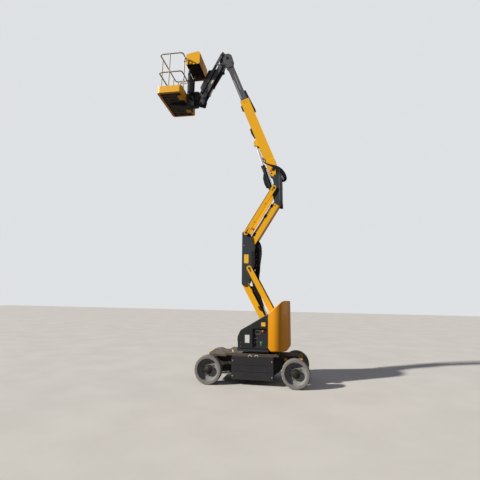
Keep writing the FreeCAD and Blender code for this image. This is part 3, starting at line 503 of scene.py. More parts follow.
# %% Settled dust
def settled_dust():
    """Dust where the normal points up, times noise, and a band of it close to the ground."""
    group, given, result = new_group("settled_dust",
                                     [("Color", "colour", (0.5, 0.5, 0.5, 1)),
                                      ("Dust", "colour", (0.46, 0.40, 0.33, 1)), ("Amount", "value", 0.5),
                                      ("Low", "value", 0.3)],
                                     [("Color", "colour"), ("Mask", "value")])
    flat = group.nodes.new("ShaderNodeNewGeometry")
    normal = group.nodes.new("ShaderNodeSeparateXYZ")
    group.links.new(flat.outputs["Normal"], normal.inputs[0])
    place = group.nodes.new("ShaderNodeTexCoord")
    height = group.nodes.new("ShaderNodeSeparateXYZ")
    group.links.new(place.outputs["Object"], height.inputs[0])
    facing = ramp(group, normal.outputs["Z"], 0.35, 0.95)
    patches = ramp(group, noise(group, 11.0, 6, rough=0.62), 0.30, 0.66)
    top = math_node(group, "MULTIPLY", math_node(group, "MULTIPLY", facing, patches), given.outputs["Amount"])
    near_ground = math_node(group, "SUBTRACT", 1.0, ramp(group, height.outputs["Z"], 0.05, 0.75))
    low = math_node(group, "MULTIPLY", math_node(group, "MULTIPLY", near_ground, patches), given.outputs["Low"])
    mask = math_node(group, "ADD", top, low, clamp=True)
    group.links.new(mixed(group, mask, given.outputs["Color"], given.outputs["Dust"]), result.inputs["Color"])
    group.links.new(mask, result.inputs["Mask"])
    return group


# %% Fine grain
def fine_grain():
    """Two sizes of noise: a slow wave as in sprayed paint, and a fine grain as in moulded plastic."""
    group, given, result = new_group("fine_grain",
                                     [("Wave", "value", 0.3), ("Grain", "value", 0.3)], [("Height", "value")])
    wave = math_node(group, "MULTIPLY", noise(group, 60.0, 2), given.outputs["Wave"])
    grain = math_node(group, "MULTIPLY", noise(group, 420.0, 2), given.outputs["Grain"])
    group.links.new(math_node(group, "ADD", wave, grain), result.inputs["Height"])
    return group


groups = {"drift": colour_drift(), "wear": edge_wear(), "dust": settled_dust(), "grain": fine_grain()}
print("node groups", sorted(groups))


# %% [markdown]
# ## One maker for all paints, plastics and rubbers
# A finish is the four groups in a row, then the shader. The values say what it is: enamel is smooth
# with a coat, moulded plastic has more grain, rubber is rough and dusty. Numbers that are the same
# all over the surface are set on the shader's own sockets.

# %% Finishes
def finish(name, colour, rough=0.4, metal=0.0, coat=0.0, drift=0.5, wear=0.5, bare=(0.30, 0.29, 0.28),
           dust=0.5, low=0.3, wave=0.3, grain=0.2, bump=0.1, specular=0.5):
    """Colour through drift, wear and dust in turn; roughness is its own value plus a little where the
    colour drifts and more where dust lies; the grain's height bends the normal."""
    material = bpy.data.materials.new(name)
    material.use_nodes = True
    tree = material.node_tree
    shader = tree.nodes["Principled BSDF"]

    def placed(kind, **values):
        node = tree.nodes.new("ShaderNodeGroup")
        node.node_tree = groups[kind]
        for socket, value in values.items():
            if isinstance(value, bpy.types.NodeSocket):
                tree.links.new(value, node.inputs[socket])
            else:
                node.inputs[socket].default_value = value
        return node

    body = placed("drift", Color=(*colour, 1), Amount=drift)
    worn = placed("wear", Color=body.outputs["Color"], Bare=(*bare, 1), Amount=wear)
    dusty = placed("dust", Color=worn.outputs["Color"], Amount=dust, Low=low)
    tree.links.new(dusty.outputs["Color"], shader.inputs["Base Color"])
    shift = math_node(tree, "MULTIPLY", body.outputs["Mask"], 0.08)
    matt = math_node(tree, "MULTIPLY", dusty.outputs["Mask"], 0.4)
    total = math_node(tree, "ADD", math_node(tree, "ADD", shift, rough), matt, clamp=True)
    tree.links.new(total, shader.inputs["Roughness"])
    height = placed("grain", Wave=wave, Grain=grain)
    relief = tree.nodes.new("ShaderNodeBump")
    relief.inputs["Strength"].default_value = bump
    relief.inputs["Distance"].default_value = 0.002
    tree.links.new(height.outputs["Height"], relief.inputs["Height"])
    tree.links.new(relief.outputs["Normal"], shader.inputs["Normal"])
    shader.inputs["Metallic"].default_value = metal
    shader.inputs["Coat Weight"].default_value = coat
    shader.inputs["Coat Roughness"].default_value = 0.12
    shader.inputs["Specular IOR Level"].default_value = specular
    finishes[name] = material
    return material


finish("paint_yellow", (0.86, 0.44, 0.003), rough=0.38, coat=0.12, drift=0.14, wear=0.3, dust=0.04, low=0.03)
finish("paint_amber", (0.84, 0.345, 0.002), rough=0.38, coat=0.15, drift=0.08, wear=0.25, dust=0.04, low=0.03)
finish("paint_charcoal", (0.029, 0.038, 0.044), rough=0.44, drift=0.3, wear=0.35, dust=0.12, low=0.2)
finish("paint_dark", (0.018, 0.019, 0.024), rough=0.42, drift=0.3, wear=0.4, dust=0.3, low=0.2)
finish("deck_dusty", (0.085, 0.060, 0.045), rough=0.7, drift=0.6, wear=0.5, dust=0.42, low=0.1)
finish("paint_grey", (0.095, 0.098, 0.112), rough=0.30, coat=0.25, drift=0.3, wear=0.4, dust=0.1, low=0.2)
finish("plastic_charcoal", (0.017, 0.0215, 0.024), rough=0.42, drift=0.25, wear=0.2, dust=0.10, low=0.05, grain=0.8)
finish("plastic_dark", (0.024, 0.024, 0.031), rough=0.42, drift=0.15, wear=0.2, dust=0.10, low=0.02, grain=0.8)
finish("hub_dark", (0.018, 0.016, 0.015), rough=0.36, drift=0.4, wear=0.4, dust=0.05, low=0.04, wave=0.8, bump=0.3)
finish("steel_ring", (0.28, 0.28, 0.29), rough=0.35, metal=0.85, drift=0.3, wear=0.2, dust=0.6)
finish("grating_steel", (0.120, 0.095, 0.095), rough=0.5, metal=0.1, drift=0.4, wear=0.3, dust=0.15)
finish("rail_silver", (0.44, 0.385, 0.30), rough=0.42, metal=0.25, coat=0.05, drift=0.15, wear=0.15, dust=0.1)
finish("tyre_grey", (0.215, 0.212, 0.210), rough=0.82, drift=0.35, wear=0.25, bare=(0.16, 0.15, 0.14), dust=0.2,
       low=0.15, grain=0.9, bump=0.35, specular=0.3)
finish("rim_grey", (0.25, 0.252, 0.26), rough=0.45, drift=0.2, wear=0.3, dust=0.10, low=0.04)
finish("barrel_black", (0.010, 0.011, 0.013), rough=0.30, coat=0.3, drift=0.3, wear=0.4, dust=0.2)
finish("chrome_rod", (0.84, 0.87, 0.92), rough=0.28, metal=0.35, drift=0.05, wear=0.0, dust=0.02, bump=0.02)
finish("rubber_black", (0.009, 0.009, 0.010), rough=0.55, drift=0.4, wear=0.1, dust=0.25, grain=0.7, specular=0.35)
finish("nut_dark", (0.050, 0.047, 0.045), rough=0.42, metal=0.5, drift=0.4, wear=0.5, dust=0.3)
finish("zinc", (0.55, 0.54, 0.50), rough=0.34, metal=0.85, drift=0.4, wear=0.2, dust=0.2)
# painted highlight: a lighter grey for the lit edge of the hood and the lit fold of the top upright
finish("trim_grey", (0.13, 0.14, 0.145), rough=0.38, drift=0.2, wear=0.2, dust=0.2)
finish("pipe_pale", (0.55, 0.53, 0.47), rough=0.45, metal=0.2, drift=0.3, wear=0.3, dust=0.3)
# painted highlight: a bright grey for the lit edges of the inner box
finish("strip_bright", (0.36, 0.38, 0.42), rough=0.35, metal=0.15, drift=0.3, wear=0.1, dust=0.1)
# painted shade: a brown for the shaded edge of the upper link's near bar
finish("seam_brown", (0.26, 0.11, 0.008), rough=0.5, drift=0.3, wear=0.0, dust=0.1)
finish("plate_white", (0.70, 0.72, 0.71), rough=0.38, drift=0.12, wear=0.1, dust=0.15)
finish("plate_cream", (0.74, 0.68, 0.44), rough=0.42, drift=0.12, wear=0.1, dust=0.2)
# lighter yellow: the own colour of the plates and the stop collar, and painted light on the lashing eyes and floor
# brackets
finish("plate_yellow", (0.86, 0.50, 0.04), rough=0.4, drift=0.12, wear=0.1, dust=0.1)
finish("button_red", (0.55, 0.03, 0.04), rough=0.34, drift=0.1, wear=0.0, dust=0.1)
finish("key_green", (0.03, 0.20, 0.08), rough=0.42, drift=0.1, wear=0.0, dust=0.1)
finish("screen_grey", (0.16, 0.17, 0.18), rough=0.35, coat=0.3, drift=0.15, wear=0.0, dust=0.1)
finish("glass_dark", (0.012, 0.014, 0.018), rough=0.12, coat=0.8, drift=0.1, wear=0.0, dust=0.05)
print("finishes", len(finishes))


# %% Floor
def floor():
    """A pale plane with a faint mottle, darker to the rays that light the machine."""
    half = 40.0
    mesh = bpy.data.meshes.new("floor")
    mesh.from_pydata([(-half, -half, 0), (half, -half, 0), (half, half, 0), (-half, half, 0)], [], [(0, 1, 2, 3)])
    material = bpy.data.materials.new("floor")
    material.use_nodes = True
    tree = material.node_tree
    pale = tree.nodes["Principled BSDF"]
    shade = mixed(tree, ramp(tree, noise(tree, 0.9, 5), 0.3, 0.7), (0.66, 0.65, 0.63, 1), (0.71, 0.70, 0.68, 1))
    tree.links.new(shade, pale.inputs["Base Color"])
    pale.inputs["Roughness"].default_value = 0.9
    dim = tree.nodes.new("ShaderNodeBsdfDiffuse")
    dim.inputs["Color"].default_value = (0.17, 0.145, 0.12, 1)
    split_by_camera(tree, pale, dim, tree.nodes["Material Output"].inputs["Surface"])
    mesh.materials.append(material)
    plane = bpy.data.objects.new("floor", mesh)
    bpy.context.scene.collection.objects.link(plane)


floor()


# %% [markdown]
# ## Finishes on the frame's own pieces
# The frame gives each node a material named after its slot in the record. The finish of the same
# name goes in its place. Five nodes have a finish of their own: dust and boots have turned the deck's
# dark paint brown, three mouldings are as black as rubber, and the console is as yellow as the booms.

# %% Dress the frame
own_finish = {"deck": "deck_dusty", "hose_cover": "rubber_black", "boom_trough": "rubber_black",
              "console_box": "rubber_black", "console_cover": "paint_yellow"}
for node, thing in nodes.items():
    named = thing.data.materials[0].name.split(".")[0]
    thing.data.materials.clear()
    thing.data.materials.append(finishes[own_finish.get(node, named)])
print("nodes dressed", len(nodes))


# %% [markdown]
# ## Small parts that repeat
# A machine like this is held together by a few things used many times: hexagon bolts on washers,
# round pin ends with a grease nipple, blank plates and hose ends. Each is a function that draws one,
# and a place and a direction put it on its seat.

# %% Plates, bolts and pin ends
def laid(shape, place, x, z):
    """A shape drawn on the XY plane, its +X laid along x and its +Z along z, moved to place."""
    points, faces = shape
    x, z = np.array(x, float), np.array(z, float)
    basis = np.array([x / np.linalg.norm(x), np.cross(z, x) / np.linalg.norm(np.cross(z, x)), z / np.linalg.norm(z)])
    return points @ basis + np.array(place, float), faces


def block(place, size, x=(1, 0, 0), z=(0, 1, 0), radius=0.005, chamfer=0.0015):
    """A block with rounded corners: width along x, height, and depth along z from place."""
    width, height, depth = size
    radius = min(radius, 0.45 * min(width, height))
    return laid(slab(rounded(width, height, radius), depth, chamfer), place, x, z)


def softened(corners, radius, steps=4):
    """A polygon whose corners are eased: a quadratic curve from radius before to radius after each."""
    corners = np.array(corners, float)
    before, after = np.roll(corners, 1, 0) - corners, np.roll(corners, -1, 0) - corners
    start = corners + radius * before / np.linalg.norm(before, axis=1, keepdims=True)
    end = corners + radius * after / np.linalg.norm(after, axis=1, keepdims=True)
    t = np.linspace(0, 1, steps)[None, :, None]
    curve = (1 - t)**2 * start[:, None] + 2 * t * (1 - t) * corners[:, None] + t**2 * end[:, None]
    return curve.reshape(-1, 2)


def oblong(u0, u1, v0, v1):
    """Corners of a rectangle between two distances along and two heights up."""
    return [(u0, v0), (u1, v0), (u1, v1), (u0, v1)]


def across(member, corners, y, radius=0.006, chamfer=0.0015):
    """A plate between two y values whose outline is given as (along, up) on a member."""
    place = member.start + np.array([0, y[1], 0])
    return laid(slab(softened(corners, radius), y[1] - y[0], chamfer), place, member.u, (0, -1, 0))


def bolts(places, z, radius=0.009):
    """Hexagon heads on washers at each place, standing along z."""
    washer = [(1.5 * radius, -0.0005), (1.5 * radius, 0.14 * radius), (1.38 * radius, 0.24 * radius)]
    head = [(radius, 0.1 * radius), (radius, 0.72 * radius), (0.82 * radius, 0.9 * radius)]
    return [set_on(lathe(profile, count), place, z)
            for place in places for profile, count in ((washer, 16), (head, 6))]


def pin_end(place, z, radius):
    """Round cap on the end of a pin, with a grease nipple in its middle."""
    profile = [(radius * 1.32, -0.0005), (radius * 1.32, 0.005), (radius * 1.2, 0.008), (radius * 0.42, 0.008),
               (radius * 0.36, 0.010), (0.005, 0.011), (0.005, 0.016), (0.0035, 0.019), (0, 0.020)]
    return set_on(lathe(profile, 28), place, z)


def hose_end(path, radius, at_start=True, length=0.045):
    """Crimped sleeve and hexagon nut over the end of a hose."""
    path = np.array(path, float)
    tip, behind = (path[0], path[1]) if at_start else (path[-1], path[-2])
    sleeve = [(1.05 * radius, 0.010), (1.45 * radius, 0.012), (1.45 * radius, length),
              (1.15 * radius, length + 0.004)]
    nut = [(1.5 * radius, -0.004), (1.75 * radius, -0.001), (1.75 * radius, 0.014), (1.5 * radius, 0.017)]
    return [set_on(lathe(sleeve, 14), tip, behind - tip), set_on(lathe(nut, 6), tip, behind - tip)]


def plate_on(member, along, up, y, width, height, thick=0.0012):
    """A blank plate on the left side of a member."""
    return block(member.point(along, up, y), (width, height, thick), member.u, (0, 1, 0), 0.006, 0.0004)


# %% [markdown]
# ## Where the upright pieces stand
# The turret, both uprights, the shoulder at the boom's pivot and the jib head stay upright, so their
# places are steps ahead of and above one of their pins. A `Member` that points to +X from that pin
# gives just that.

# %% Upright members
def upright(start):
    """A member that points to +X: along is ahead of the start and up is above it."""
    return Member(start, np.array(start, float) + np.array([1, 0, 0]))


slew = at("slew") * np.array([1, 1, 0])
ground, mid, top = upright(slew), upright(pin_b), upright(pin_g)
shoulder, head = upright(pivot), upright(knuckle)


def ram(name):
    """The middle line of a hydraulic cylinder, from its base pin along its rod."""
    base = at(name + "_barrel_turn")
    return Member(base, base + np.array(joints[name + "_rod_slide"]["axis"], float))


riser_ram, lift_ram, jib_ram = ram("riser"), ram("lift"), ram("jib")
left = (0, 1, 0)


# %% [markdown]
# ## Wheels
# The tyres are solid and already have their lugs. What the rim lacks is its dark hub cap with a ring
# of screws, and nine wheel nuts low in the dish. Both are profiles turned about the axle.

# %% Hub caps and wheel nuts
hub_face, dish_floor = 0.044, -0.0165
nut_circle, nut_count, nut_radius = 0.127, 9, 0.0105
cap_screw_circle, cap_screw_count = 0.080, 8
cap_profile = [(0.0952, -0.047), (0.0988, -0.045), (0.0988, -0.003), (0.094, 0.003), (0.070, 0.005), (0.066, 0.009),
               (0.062, 0.021), (0.046, 0.027), (0.020, 0.029), (0.018, 0.034), (0.012, 0.036), (0, 0.036)]


def on_circle(centre, radius, count, y):
    """Places on a circle about an axle, at a distance y along it."""
    turn = (np.arange(count) + 0.5) * 2 * np.pi / count
    return centre + np.stack([radius * np.cos(turn), np.full(count, y), radius * np.sin(turn)], -1)


for corner in ("front_left", "front_right", "rear_left", "rear_right"):
    centre = at("roll_" + corner)
    side = math.copysign(1, centre[1])
    out = np.array([0, side, 0])
    screws = on_circle(centre, cap_screw_circle, cap_screw_count, side * (hub_face + 0.004))
    cap = [set_on(lathe(cap_profile, 44), centre + hub_face * out, out)] + bolts(screws, out, 0.0055)
    piece("hub_cap_" + corner, cap, "hub_dark", "wheel_" + corner)
    nuts = on_circle(centre, nut_circle, nut_count, side * dish_floor)
    piece("wheel_nuts_" + corner, bolts(nuts, out, nut_radius), "nut_dark", "wheel_" + corner)
print("wheel pieces", len(made))


# %% [markdown]
# ## Chassis
# The side trays are held by four screws each and have two rope loops on top. The slew ring is bolted
# down all round, a few cable clamps stand on the deck, and yellow plates mark the lashing eyes, their
# yellow lighter than the paint as painted light.

# %% Trays, ring and deck
tray_face, tray_top, ring_seat = 0.600, 0.5895, 0.640
tray_bolts = [ground.point(x, z, tray_face) for x in (-0.442, 0.410) for z in (0.19, 0.50)]
piece("tray_bolts", both_sides(bolts(tray_bolts, left, 0.012)), "zinc", "chassis")


def tray_loop(x):
    """Stiff loop of thin rope standing on the tray."""
    route = [(x - 0.034, tray_top - 0.004), (x - 0.030, tray_top + 0.020), (x - 0.012, tray_top + 0.032),
             (x + 0.012, tray_top + 0.032), (x + 0.030, tray_top + 0.020), (x + 0.034, tray_top - 0.004)]
    return hose([ground.point(ahead, height, 0.572) for ahead, height in route], 0.0055)


piece("tray_loops", both_sides([tray_loop(x) for x in (-0.105, 0.037)]), "plate_white", "chassis")

ring_bolt_circle, ring_bolt_count = 0.352, 28
turn = (np.arange(ring_bolt_count) + 0.5) * 2 * np.pi / ring_bolt_count
ring_places = slew + np.stack([ring_bolt_circle * np.cos(turn), ring_bolt_circle * np.sin(turn),
                               np.full(ring_bolt_count, ring_seat)], -1)
piece("ring_bolts", bolts(ring_places, (0, 0, 1), 0.009), "zinc", "chassis")

clamps = []
for x, y in ((0.452, 0.34), (0.47, 0.24), (0.50, 0.12)):
    clamps += [block(ground.point(x, ring_seat - 0.001, y), (0.030, 0.022, 0.020), (1, 0, 0), (0, 0, 1), 0.004)]
    clamps += bolts([ground.point(x, ring_seat + 0.019, y)], (0, 0, 1), 0.005)
# Each lashing plate: (ahead, up, y) and (width, height, thickness)
lashing_plates = [((1.132, 0.515, 0.3755), (0.078, 0.056, 0.012)),
                  ((-0.725, 0.530, 0.3555), (0.064, 0.060, 0.012)),
                  ((-1.050, 0.540, 0.3555), (0.070, 0.050, 0.012))]
# painted light: the lashing eyes take a lighter yellow than the paint, as if in the sun
lashings = [block(ground.point(*place), size, (1, 0, 0), left, 0.016) for place, size in lashing_plates]
piece("lashing_eyes", both_sides(lashings), "plate_yellow", "chassis")
piece("deck_clamps", clamps, "plate_cream", "chassis")

deck_screws = [ground.point(x, ring_seat, side * 0.47) for x in np.linspace(-0.54, 0.56, 7) for side in (-1, 1)]
end_screws = [ground.point(x, 0.600, side * 0.22) for x in (-0.93, -0.64, 0.64, 0.93) for side in (-1, 1)]
piece("deck_screws", bolts(deck_screws + end_screws, (0, 0, 1), 0.007), "nut_dark", "chassis")
print("chassis pieces", len(made))


# %% [markdown]
# ## Turret
# A lighter bead along the hood's sloping edge is painted highlight, where the top of the hood
# catches the light. The hood carries a blank white plate and a blank yellow one. The ground controls
# sit in the recess: a screen in a frame, a red button, six small switches and a key on its plate.

# %% Hood trim, plates and ground controls
hood_face, panel_face = 0.560, 0.508
edge_line = [(0.3155, 0.90), (0.3150, 0.985), (0.300, 1.030), (0.262, 1.110), (0.236, 1.142), (0.10, 1.220),
             (-0.10, 1.338), (-0.26, 1.432), (-0.330, 1.463)]
# painted highlight: a lighter bead stands for the lit top edge of the hood
edge_highlight = hose([ground.point(x, z, hood_face - 0.005) for x, z in edge_line], 0.0075)
piece("hood_bead", both_sides([edge_highlight]), "trim_grey", "turret")
piece("hood_plate", [plate_on(ground, 0.103, 0.955, hood_face - 0.0004, 0.100, 0.166)], "plate_white", "turret")
piece("hood_sticker", [plate_on(ground, -0.2525, 1.270, hood_face - 0.0004, 0.093, 0.084)], "plate_yellow", "turret")
hood_screws = [ground.point(x, z, hood_face) for x, z in ((0.251, 0.870), (0.251, 0.800), (-0.335, 1.395),
                                                         (0.02, 1.225), (-0.335, 0.80))]
piece("hood_screws", both_sides(bolts(hood_screws, left, 0.006)), "zinc", "turret")

screen_at = ground.point(-0.125, 1.0995, panel_face - 0.001)
piece("screen_frame", [block(screen_at, (0.124, 0.094, 0.010), (1, 0, 0), left, 0.012)], "screen_grey", "turret")
piece("screen_glass", [block(screen_at + (0, 0.0095, 0), (0.092, 0.062, 0.002), (1, 0, 0), left, 0.004, 0.0006)],
      "glass_dark", "turret")
stop_at = ground.point(-0.241, 1.125, panel_face - 0.001)
collar = [(0.026, 0), (0.026, 0.006), (0.022, 0.009), (0.014, 0.010), (0, 0.010)]
mushroom = [(0.010, 0.006), (0.010, 0.016), (0.0165, 0.018), (0.018, 0.023), (0.016, 0.029), (0.008, 0.032),
            (0, 0.033)]
piece("stop_collar", [set_on(lathe(collar, 28), stop_at, left)], "plate_yellow", "turret")
piece("stop_button", [set_on(lathe(mushroom, 28), stop_at, left)], "button_red", "turret")


def toggle(place):
    """Small switch: threaded collar and a bat-shaped lever tipped a little up."""
    bat = [(0.0035, 0), (0.0030, 0.006), (0.0042, 0.020), (0.0046, 0.026), (0.0030, 0.029), (0, 0.030)]
    nut = [(0.0085, 0), (0.0085, 0.004), (0.006, 0.006)]
    return [set_on(lathe(nut, 6), place, left), set_on(lathe(bat, 12), place, (0, 1, 0.35))]


switch_row = [ground.point(x, z, panel_face) for z in (0.886, 0.965) for x in (-0.125, -0.094, -0.063)]
piece("switches", sum((toggle(place) for place in switch_row), []), "zinc", "turret")
piece("key_plate", [block(ground.point(-0.2035, 0.863, panel_face - 0.001), (0.057, 0.084, 0.006), (1, 0, 0), left,
                          0.006)], "key_green", "turret")
key = [(0.012, 0), (0.012, 0.005), (0.009, 0.007), (0.009, 0.010), (0, 0.010)]
key_at = ground.point(-0.2035, 0.868, panel_face + 0.004)
bow = block(key_at + (0, 0.009, 0), (0.005, 0.026, 0.018), (1, 0, 0), left, 0.002, 0.001)
piece("key_switch", [set_on(lathe(key, 20), key_at, left), bow], "zinc", "turret")
ledge = block(ground.point(-0.169, 0.785, 0.500), (0.300, 0.012, 0.040), (1, 0, 0), left, 0.004)
piece("panel_ledge", [ledge], "plastic_charcoal", "turret")
print("turret pieces", len(made))


# %% [markdown]
# ## Counterweight
# The casting is round in plan about the slew axis, flat at its sides, and its corners are eased so
# that light runs round them. It is a loaf: at each x a rounded rectangle gives the section, as wide
# as the plan and as high as the side view. Its two arms are loaves of their own beside the links.

# %% Counterweight casting
tail_low, tail_high = (np.array(corner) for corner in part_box("counterweight"))
tail_front, tail_half_wide, tail_radius = tail_high[0] - slew[0], tail_high[1], 0.831
corner_ease, arm_inside, room_back, casting_edge = 0.25, 0.262, -0.640, 0.034


def half_width(x):
    """Half width in plan: the flat side, a fillet that meets both, then the circle about the slew axis."""
    fillet_x = -math.sqrt((tail_radius - corner_ease)**2 - (tail_half_wide - corner_ease)**2)
    meets = fillet_x * tail_radius / (tail_radius - corner_ease)
    fillet = tail_half_wide - corner_ease + np.sqrt(np.maximum(corner_ease**2 - (x - fillet_x)**2, 0))
    back = np.sqrt(np.maximum(tail_radius**2 - x**2, 0))
    return np.where(x > fillet_x, tail_half_wide, np.where(x > meets, fillet, back))


under_line = softened([(-0.840, 1.20), (-0.836, 0.794), (-0.746, tail_low[2]), (-0.416, tail_low[2]),
                       (tail_front, 0.770), (tail_front + 0.1, 1.0)], 0.035, 6)[6:-6]
over_line = softened([(-0.95, tail_high[2]), (-0.900, tail_high[2]), (-0.666, tail_high[2]), (tail_front, 1.515),
                      (tail_front + 0.1, 1.43)], 0.030, 6)[6:-6]


def loaf(stations, inside):
    """Rounded sections across y, from inside to the plan's half width, at each station along x."""
    low_z = np.interp(stations, under_line[:, 0], under_line[:, 1])
    high_z = np.interp(stations, over_line[:, 0], over_line[:, 1])
    layers = []
    for x, y, z0, z1 in zip(stations, half_width(stations), low_z, high_z):
        y0 = -y if inside is None else inside
        ease = min(casting_edge, 0.45 * (y - y0) + 1e-4)
        section = rounded(y - y0, z1 - z0, ease, 5) + np.array([(y + y0) / 2, (z0 + z1) / 2])
        layers.append(np.column_stack([np.full(len(section), x), section]))
    return rings(np.array(layers) + slew)


sweep = np.linspace(0.02, math.acos(-room_back / tail_radius) + 0.02, 40)
back_shape = loaf(-tail_radius * np.cos(sweep), None)
arm_shape = loaf(np.linspace(room_back - 0.010, tail_front, 40), arm_inside)
casting = piece("counterweight_cast", [back_shape] + both_sides([arm_shape]), "paint_amber", "turret")
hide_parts("counterweight")
print("counterweight", len(casting.data.polygons))


# %% [markdown]
# ## Pins
# A pin of the linkage ends in a cap, which rides on the piece that holds the pin. Where the pin sits
# inside the end of a link, a dark slot in the link is all that shows of it.

# %% Pin ends
stub_face, cheek_face, pivot_face = 0.244, 0.180, 0.124
knuckle_face, jib_low_face, jib_high_face = 0.100, 0.114, 0.122
main_pin, pivot_pin, jib_pin = 0.026, 0.032, 0.020
ends = {
    "turret": [(pin_d, stub_face, main_pin)],
    "top_upright": [(pivot, pivot_face, pivot_pin)],
    "extension": [(knuckle, knuckle_face, main_pin)],
    "jib_head": [(jib_low, jib_low_face, jib_pin), (jib_high, jib_high_face, jib_pin)],
    "platform_mount": [(jib_low_end, jib_low_face, jib_pin), (jib_high_end, jib_high_face, jib_pin)],
}
for body, table in ends.items():
    caps = [pin_end(place + (0, y, 0), left, radius) for place, y, radius in table]
    piece("pin_ends_" + body, both_sides(caps), "nut_dark", body)

link_outside = 0.2317
slot_places = {"rear_link": [(pin_c, -rear_link.u)], "upper_link": [(pin_e, upper_link.u), (pin_f, -upper_link.u)]}
for body, table in slot_places.items():
    marks = [block(place + (0, link_outside, 0) + 0.064 * along, (0.070, 0.026, 0.003), along, left, 0.012, 0.001)
             for place, along in table]
    piece("pin_slots_" + body, both_sides(marks), "rubber_black", body)
piece("mid_pin_screws", both_sides(bolts([mid.point(0.003, 0.893, cheek_face)], left, 0.011)), "zinc", "mid_upright")
print("pins", len(made))


# %% [markdown]
# ## Lower riser
# The front link carries a limit switch in a black block, and the rear link three saddles inside one
# of its bars. A steel pipe runs up the barrel of the riser's cylinder to a port near its mouth.

# %% Lower riser
def barrel_pipe(member, length, radius, side, y=0.0):
    """Pipe from a port near the foot of a barrel to one near its mouth, on the side named by 1 or -1."""
    off = radius + 0.016
    route = [(0.075, radius - 0.004), (0.078, off - 0.003), (0.105, off), (length * 0.5, off), (length - 0.115, off),
             (length - 0.088, off - 0.003), (length - 0.085, radius - 0.004)]
    pipe = hose([member.point(s, side * v, y) for s, v in route], 0.006)
    ports = [block(member.point(s, side * (radius - 0.006), y), (0.030, 0.030, 0.020), member.u,
                   side * member.v, 0.004) for s in (0.078, length - 0.088)]
    return [pipe], ports


pipe, ports = barrel_pipe(riser_ram, 1.060, 0.052, 1)
piece("riser_pipe", pipe, "zinc", "riser_barrel")
piece("riser_ports", ports, "nut_dark", "riser_barrel")
link_face, rear_inside = 0.150, -0.190
switch_box = [block(front_link.point(0.679, 0.045, link_face - 0.001), (0.090, 0.032, 0.026), front_link.u, left)]
switch_box += [block(front_link.point(0.735, 0.045, link_face + 0.004), (0.030, 0.014, 0.012), front_link.u, left)]
piece("link_switch", switch_box, "rubber_black", "front_link")
piece("link_bolts", both_sides(bolts([front_link.point(0.25, 0.0, link_face)],
                                     left, 0.013)), "nut_dark", "front_link")
saddles = [block(rear_link.point(s, v, rear_inside - 0.001), (0.060, 0.030, 0.020), rear_link.u, left)
           for s, v in ((0.617, 0.030), (0.524, 0.010), (0.340, 0.020))]
piece("rear_saddles", saddles, "nut_dark", "rear_link")
print("lower riser", len(made))


# %% [markdown]
# ## Middle upright
# The upright has a blank yellow plate with a thin dark border, a dark strip of painted shade in the
# groove along its rear edge, and the screws of the hose cover. Above the cover the hoses run in one
# sleeve to the upper arm. Below it they fall in a stack on each side to the front link and run on
# along it under straps.

# %% Middle upright
border = plate_on(mid, -0.044, 0.568, cheek_face - 0.0004, 0.122, 0.224, 0.0012)
piece("mid_plate_border", [border], "rubber_black", "mid_upright")
piece("mid_plate", [plate_on(mid, -0.044, 0.568, cheek_face + 0.0006, 0.110, 0.212, 0.0012)], "plate_yellow",
      "mid_upright")
# painted shade: a dark strip stands for the shade in the groove along the rear edge
groove_shade = oblong(-0.240, -0.170, 0.380, 0.752)
piece("mid_pads", both_sides([across(mid, groove_shade, (cheek_face - 0.0005, cheek_face + 0.004), 0.012)]), "rubber_black",
      "mid_upright")
cover_screws = [mid.point(x, z, 0.110) for x, z in ((-0.285, 0.42), (-0.285, 0.56), (-0.285, 0.69))]
piece("cover_screws", both_sides(bolts(cover_screws, left, 0.006)), "zinc", "mid_upright")


def bundle(routes, radius, member):
    """Several hoses side by side: each route is a list of (along, up, y) on a member."""
    return [hose([member.point(*point) for point in route], radius) for route in routes]


sleeve_line = [(-0.323, 0.700), (-0.323, 0.780), (-0.322, 0.850), (-0.315, 0.910), (-0.298, 0.960), (-0.276, 0.995),
               (-0.252, 1.020)]
path = smooth([mid.point(x, z) for x, z in sleeve_line], 7)
# The sleeve tapers upwards, with a slight ripple along it
share = np.linspace(0, 1, len(path))
thick = 0.146 - 0.050 * share**2 + 0.004 * np.sin(share * 40)
wide = 0.216 - 0.020 * share + 0.003 * np.sin(share * 31 + 1)
skins = [rounded(y_size, x_size, 0.026, 5) for x_size, y_size in zip(thick, wide)]
sleeve = piece("hose_sleeve", [carried(skins, path)], "rubber_black")
tuple(mid.point(-0.335, 0.720))
tuple(mid.point(-0.310, 0.980))
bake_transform(sleeve)

link_hose_radius = 0.0125
joined, hang_y = front_link.length - 0.285, (0.090, 0.078, 0.090, 0.078, 0.090)
hang_up = np.array([0.082, 0.104, 0.126, 0.148, 0.168])
falls, runs = [], []
for up_there, y in zip(hang_up, hang_y):
    share = (up_there - hang_up[0]) / (hang_up[-1] - hang_up[0])
    foot = front_link.point(joined, up_there) - mid.start
    below = front_link.point(joined - 0.030, up_there) - mid.start
    fall = [(-0.270 - 0.075 * share, 0.386), (-0.262 - 0.075 * share, 0.290), (-0.244 - 0.078 * share, 0.150),
            (-0.222 - 0.088 * share, 0.010), (-0.206 - 0.092 * share, -0.100), (foot[0], foot[2]),
            (below[0], below[2])]
    falls.append([(x, z, y) for x, z in fall])
    runs.append([(joined + 0.02, up_there, y), (joined - 0.08, up_there, y), (joined - 0.20, 0.95 * up_there, y),
                 (joined - 0.32, 0.80 * up_there, y), (joined - 0.42, 0.62 * up_there, y), (joined - 0.48, 0.050, y)])
low_hoses = piece("link_hoses", both_sides(bundle(falls, link_hose_radius, mid)), "rubber_black")
tuple(mid.point(-0.240, -0.150))
tuple(mid.point(-0.300, 0.300))
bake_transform(low_hoses)
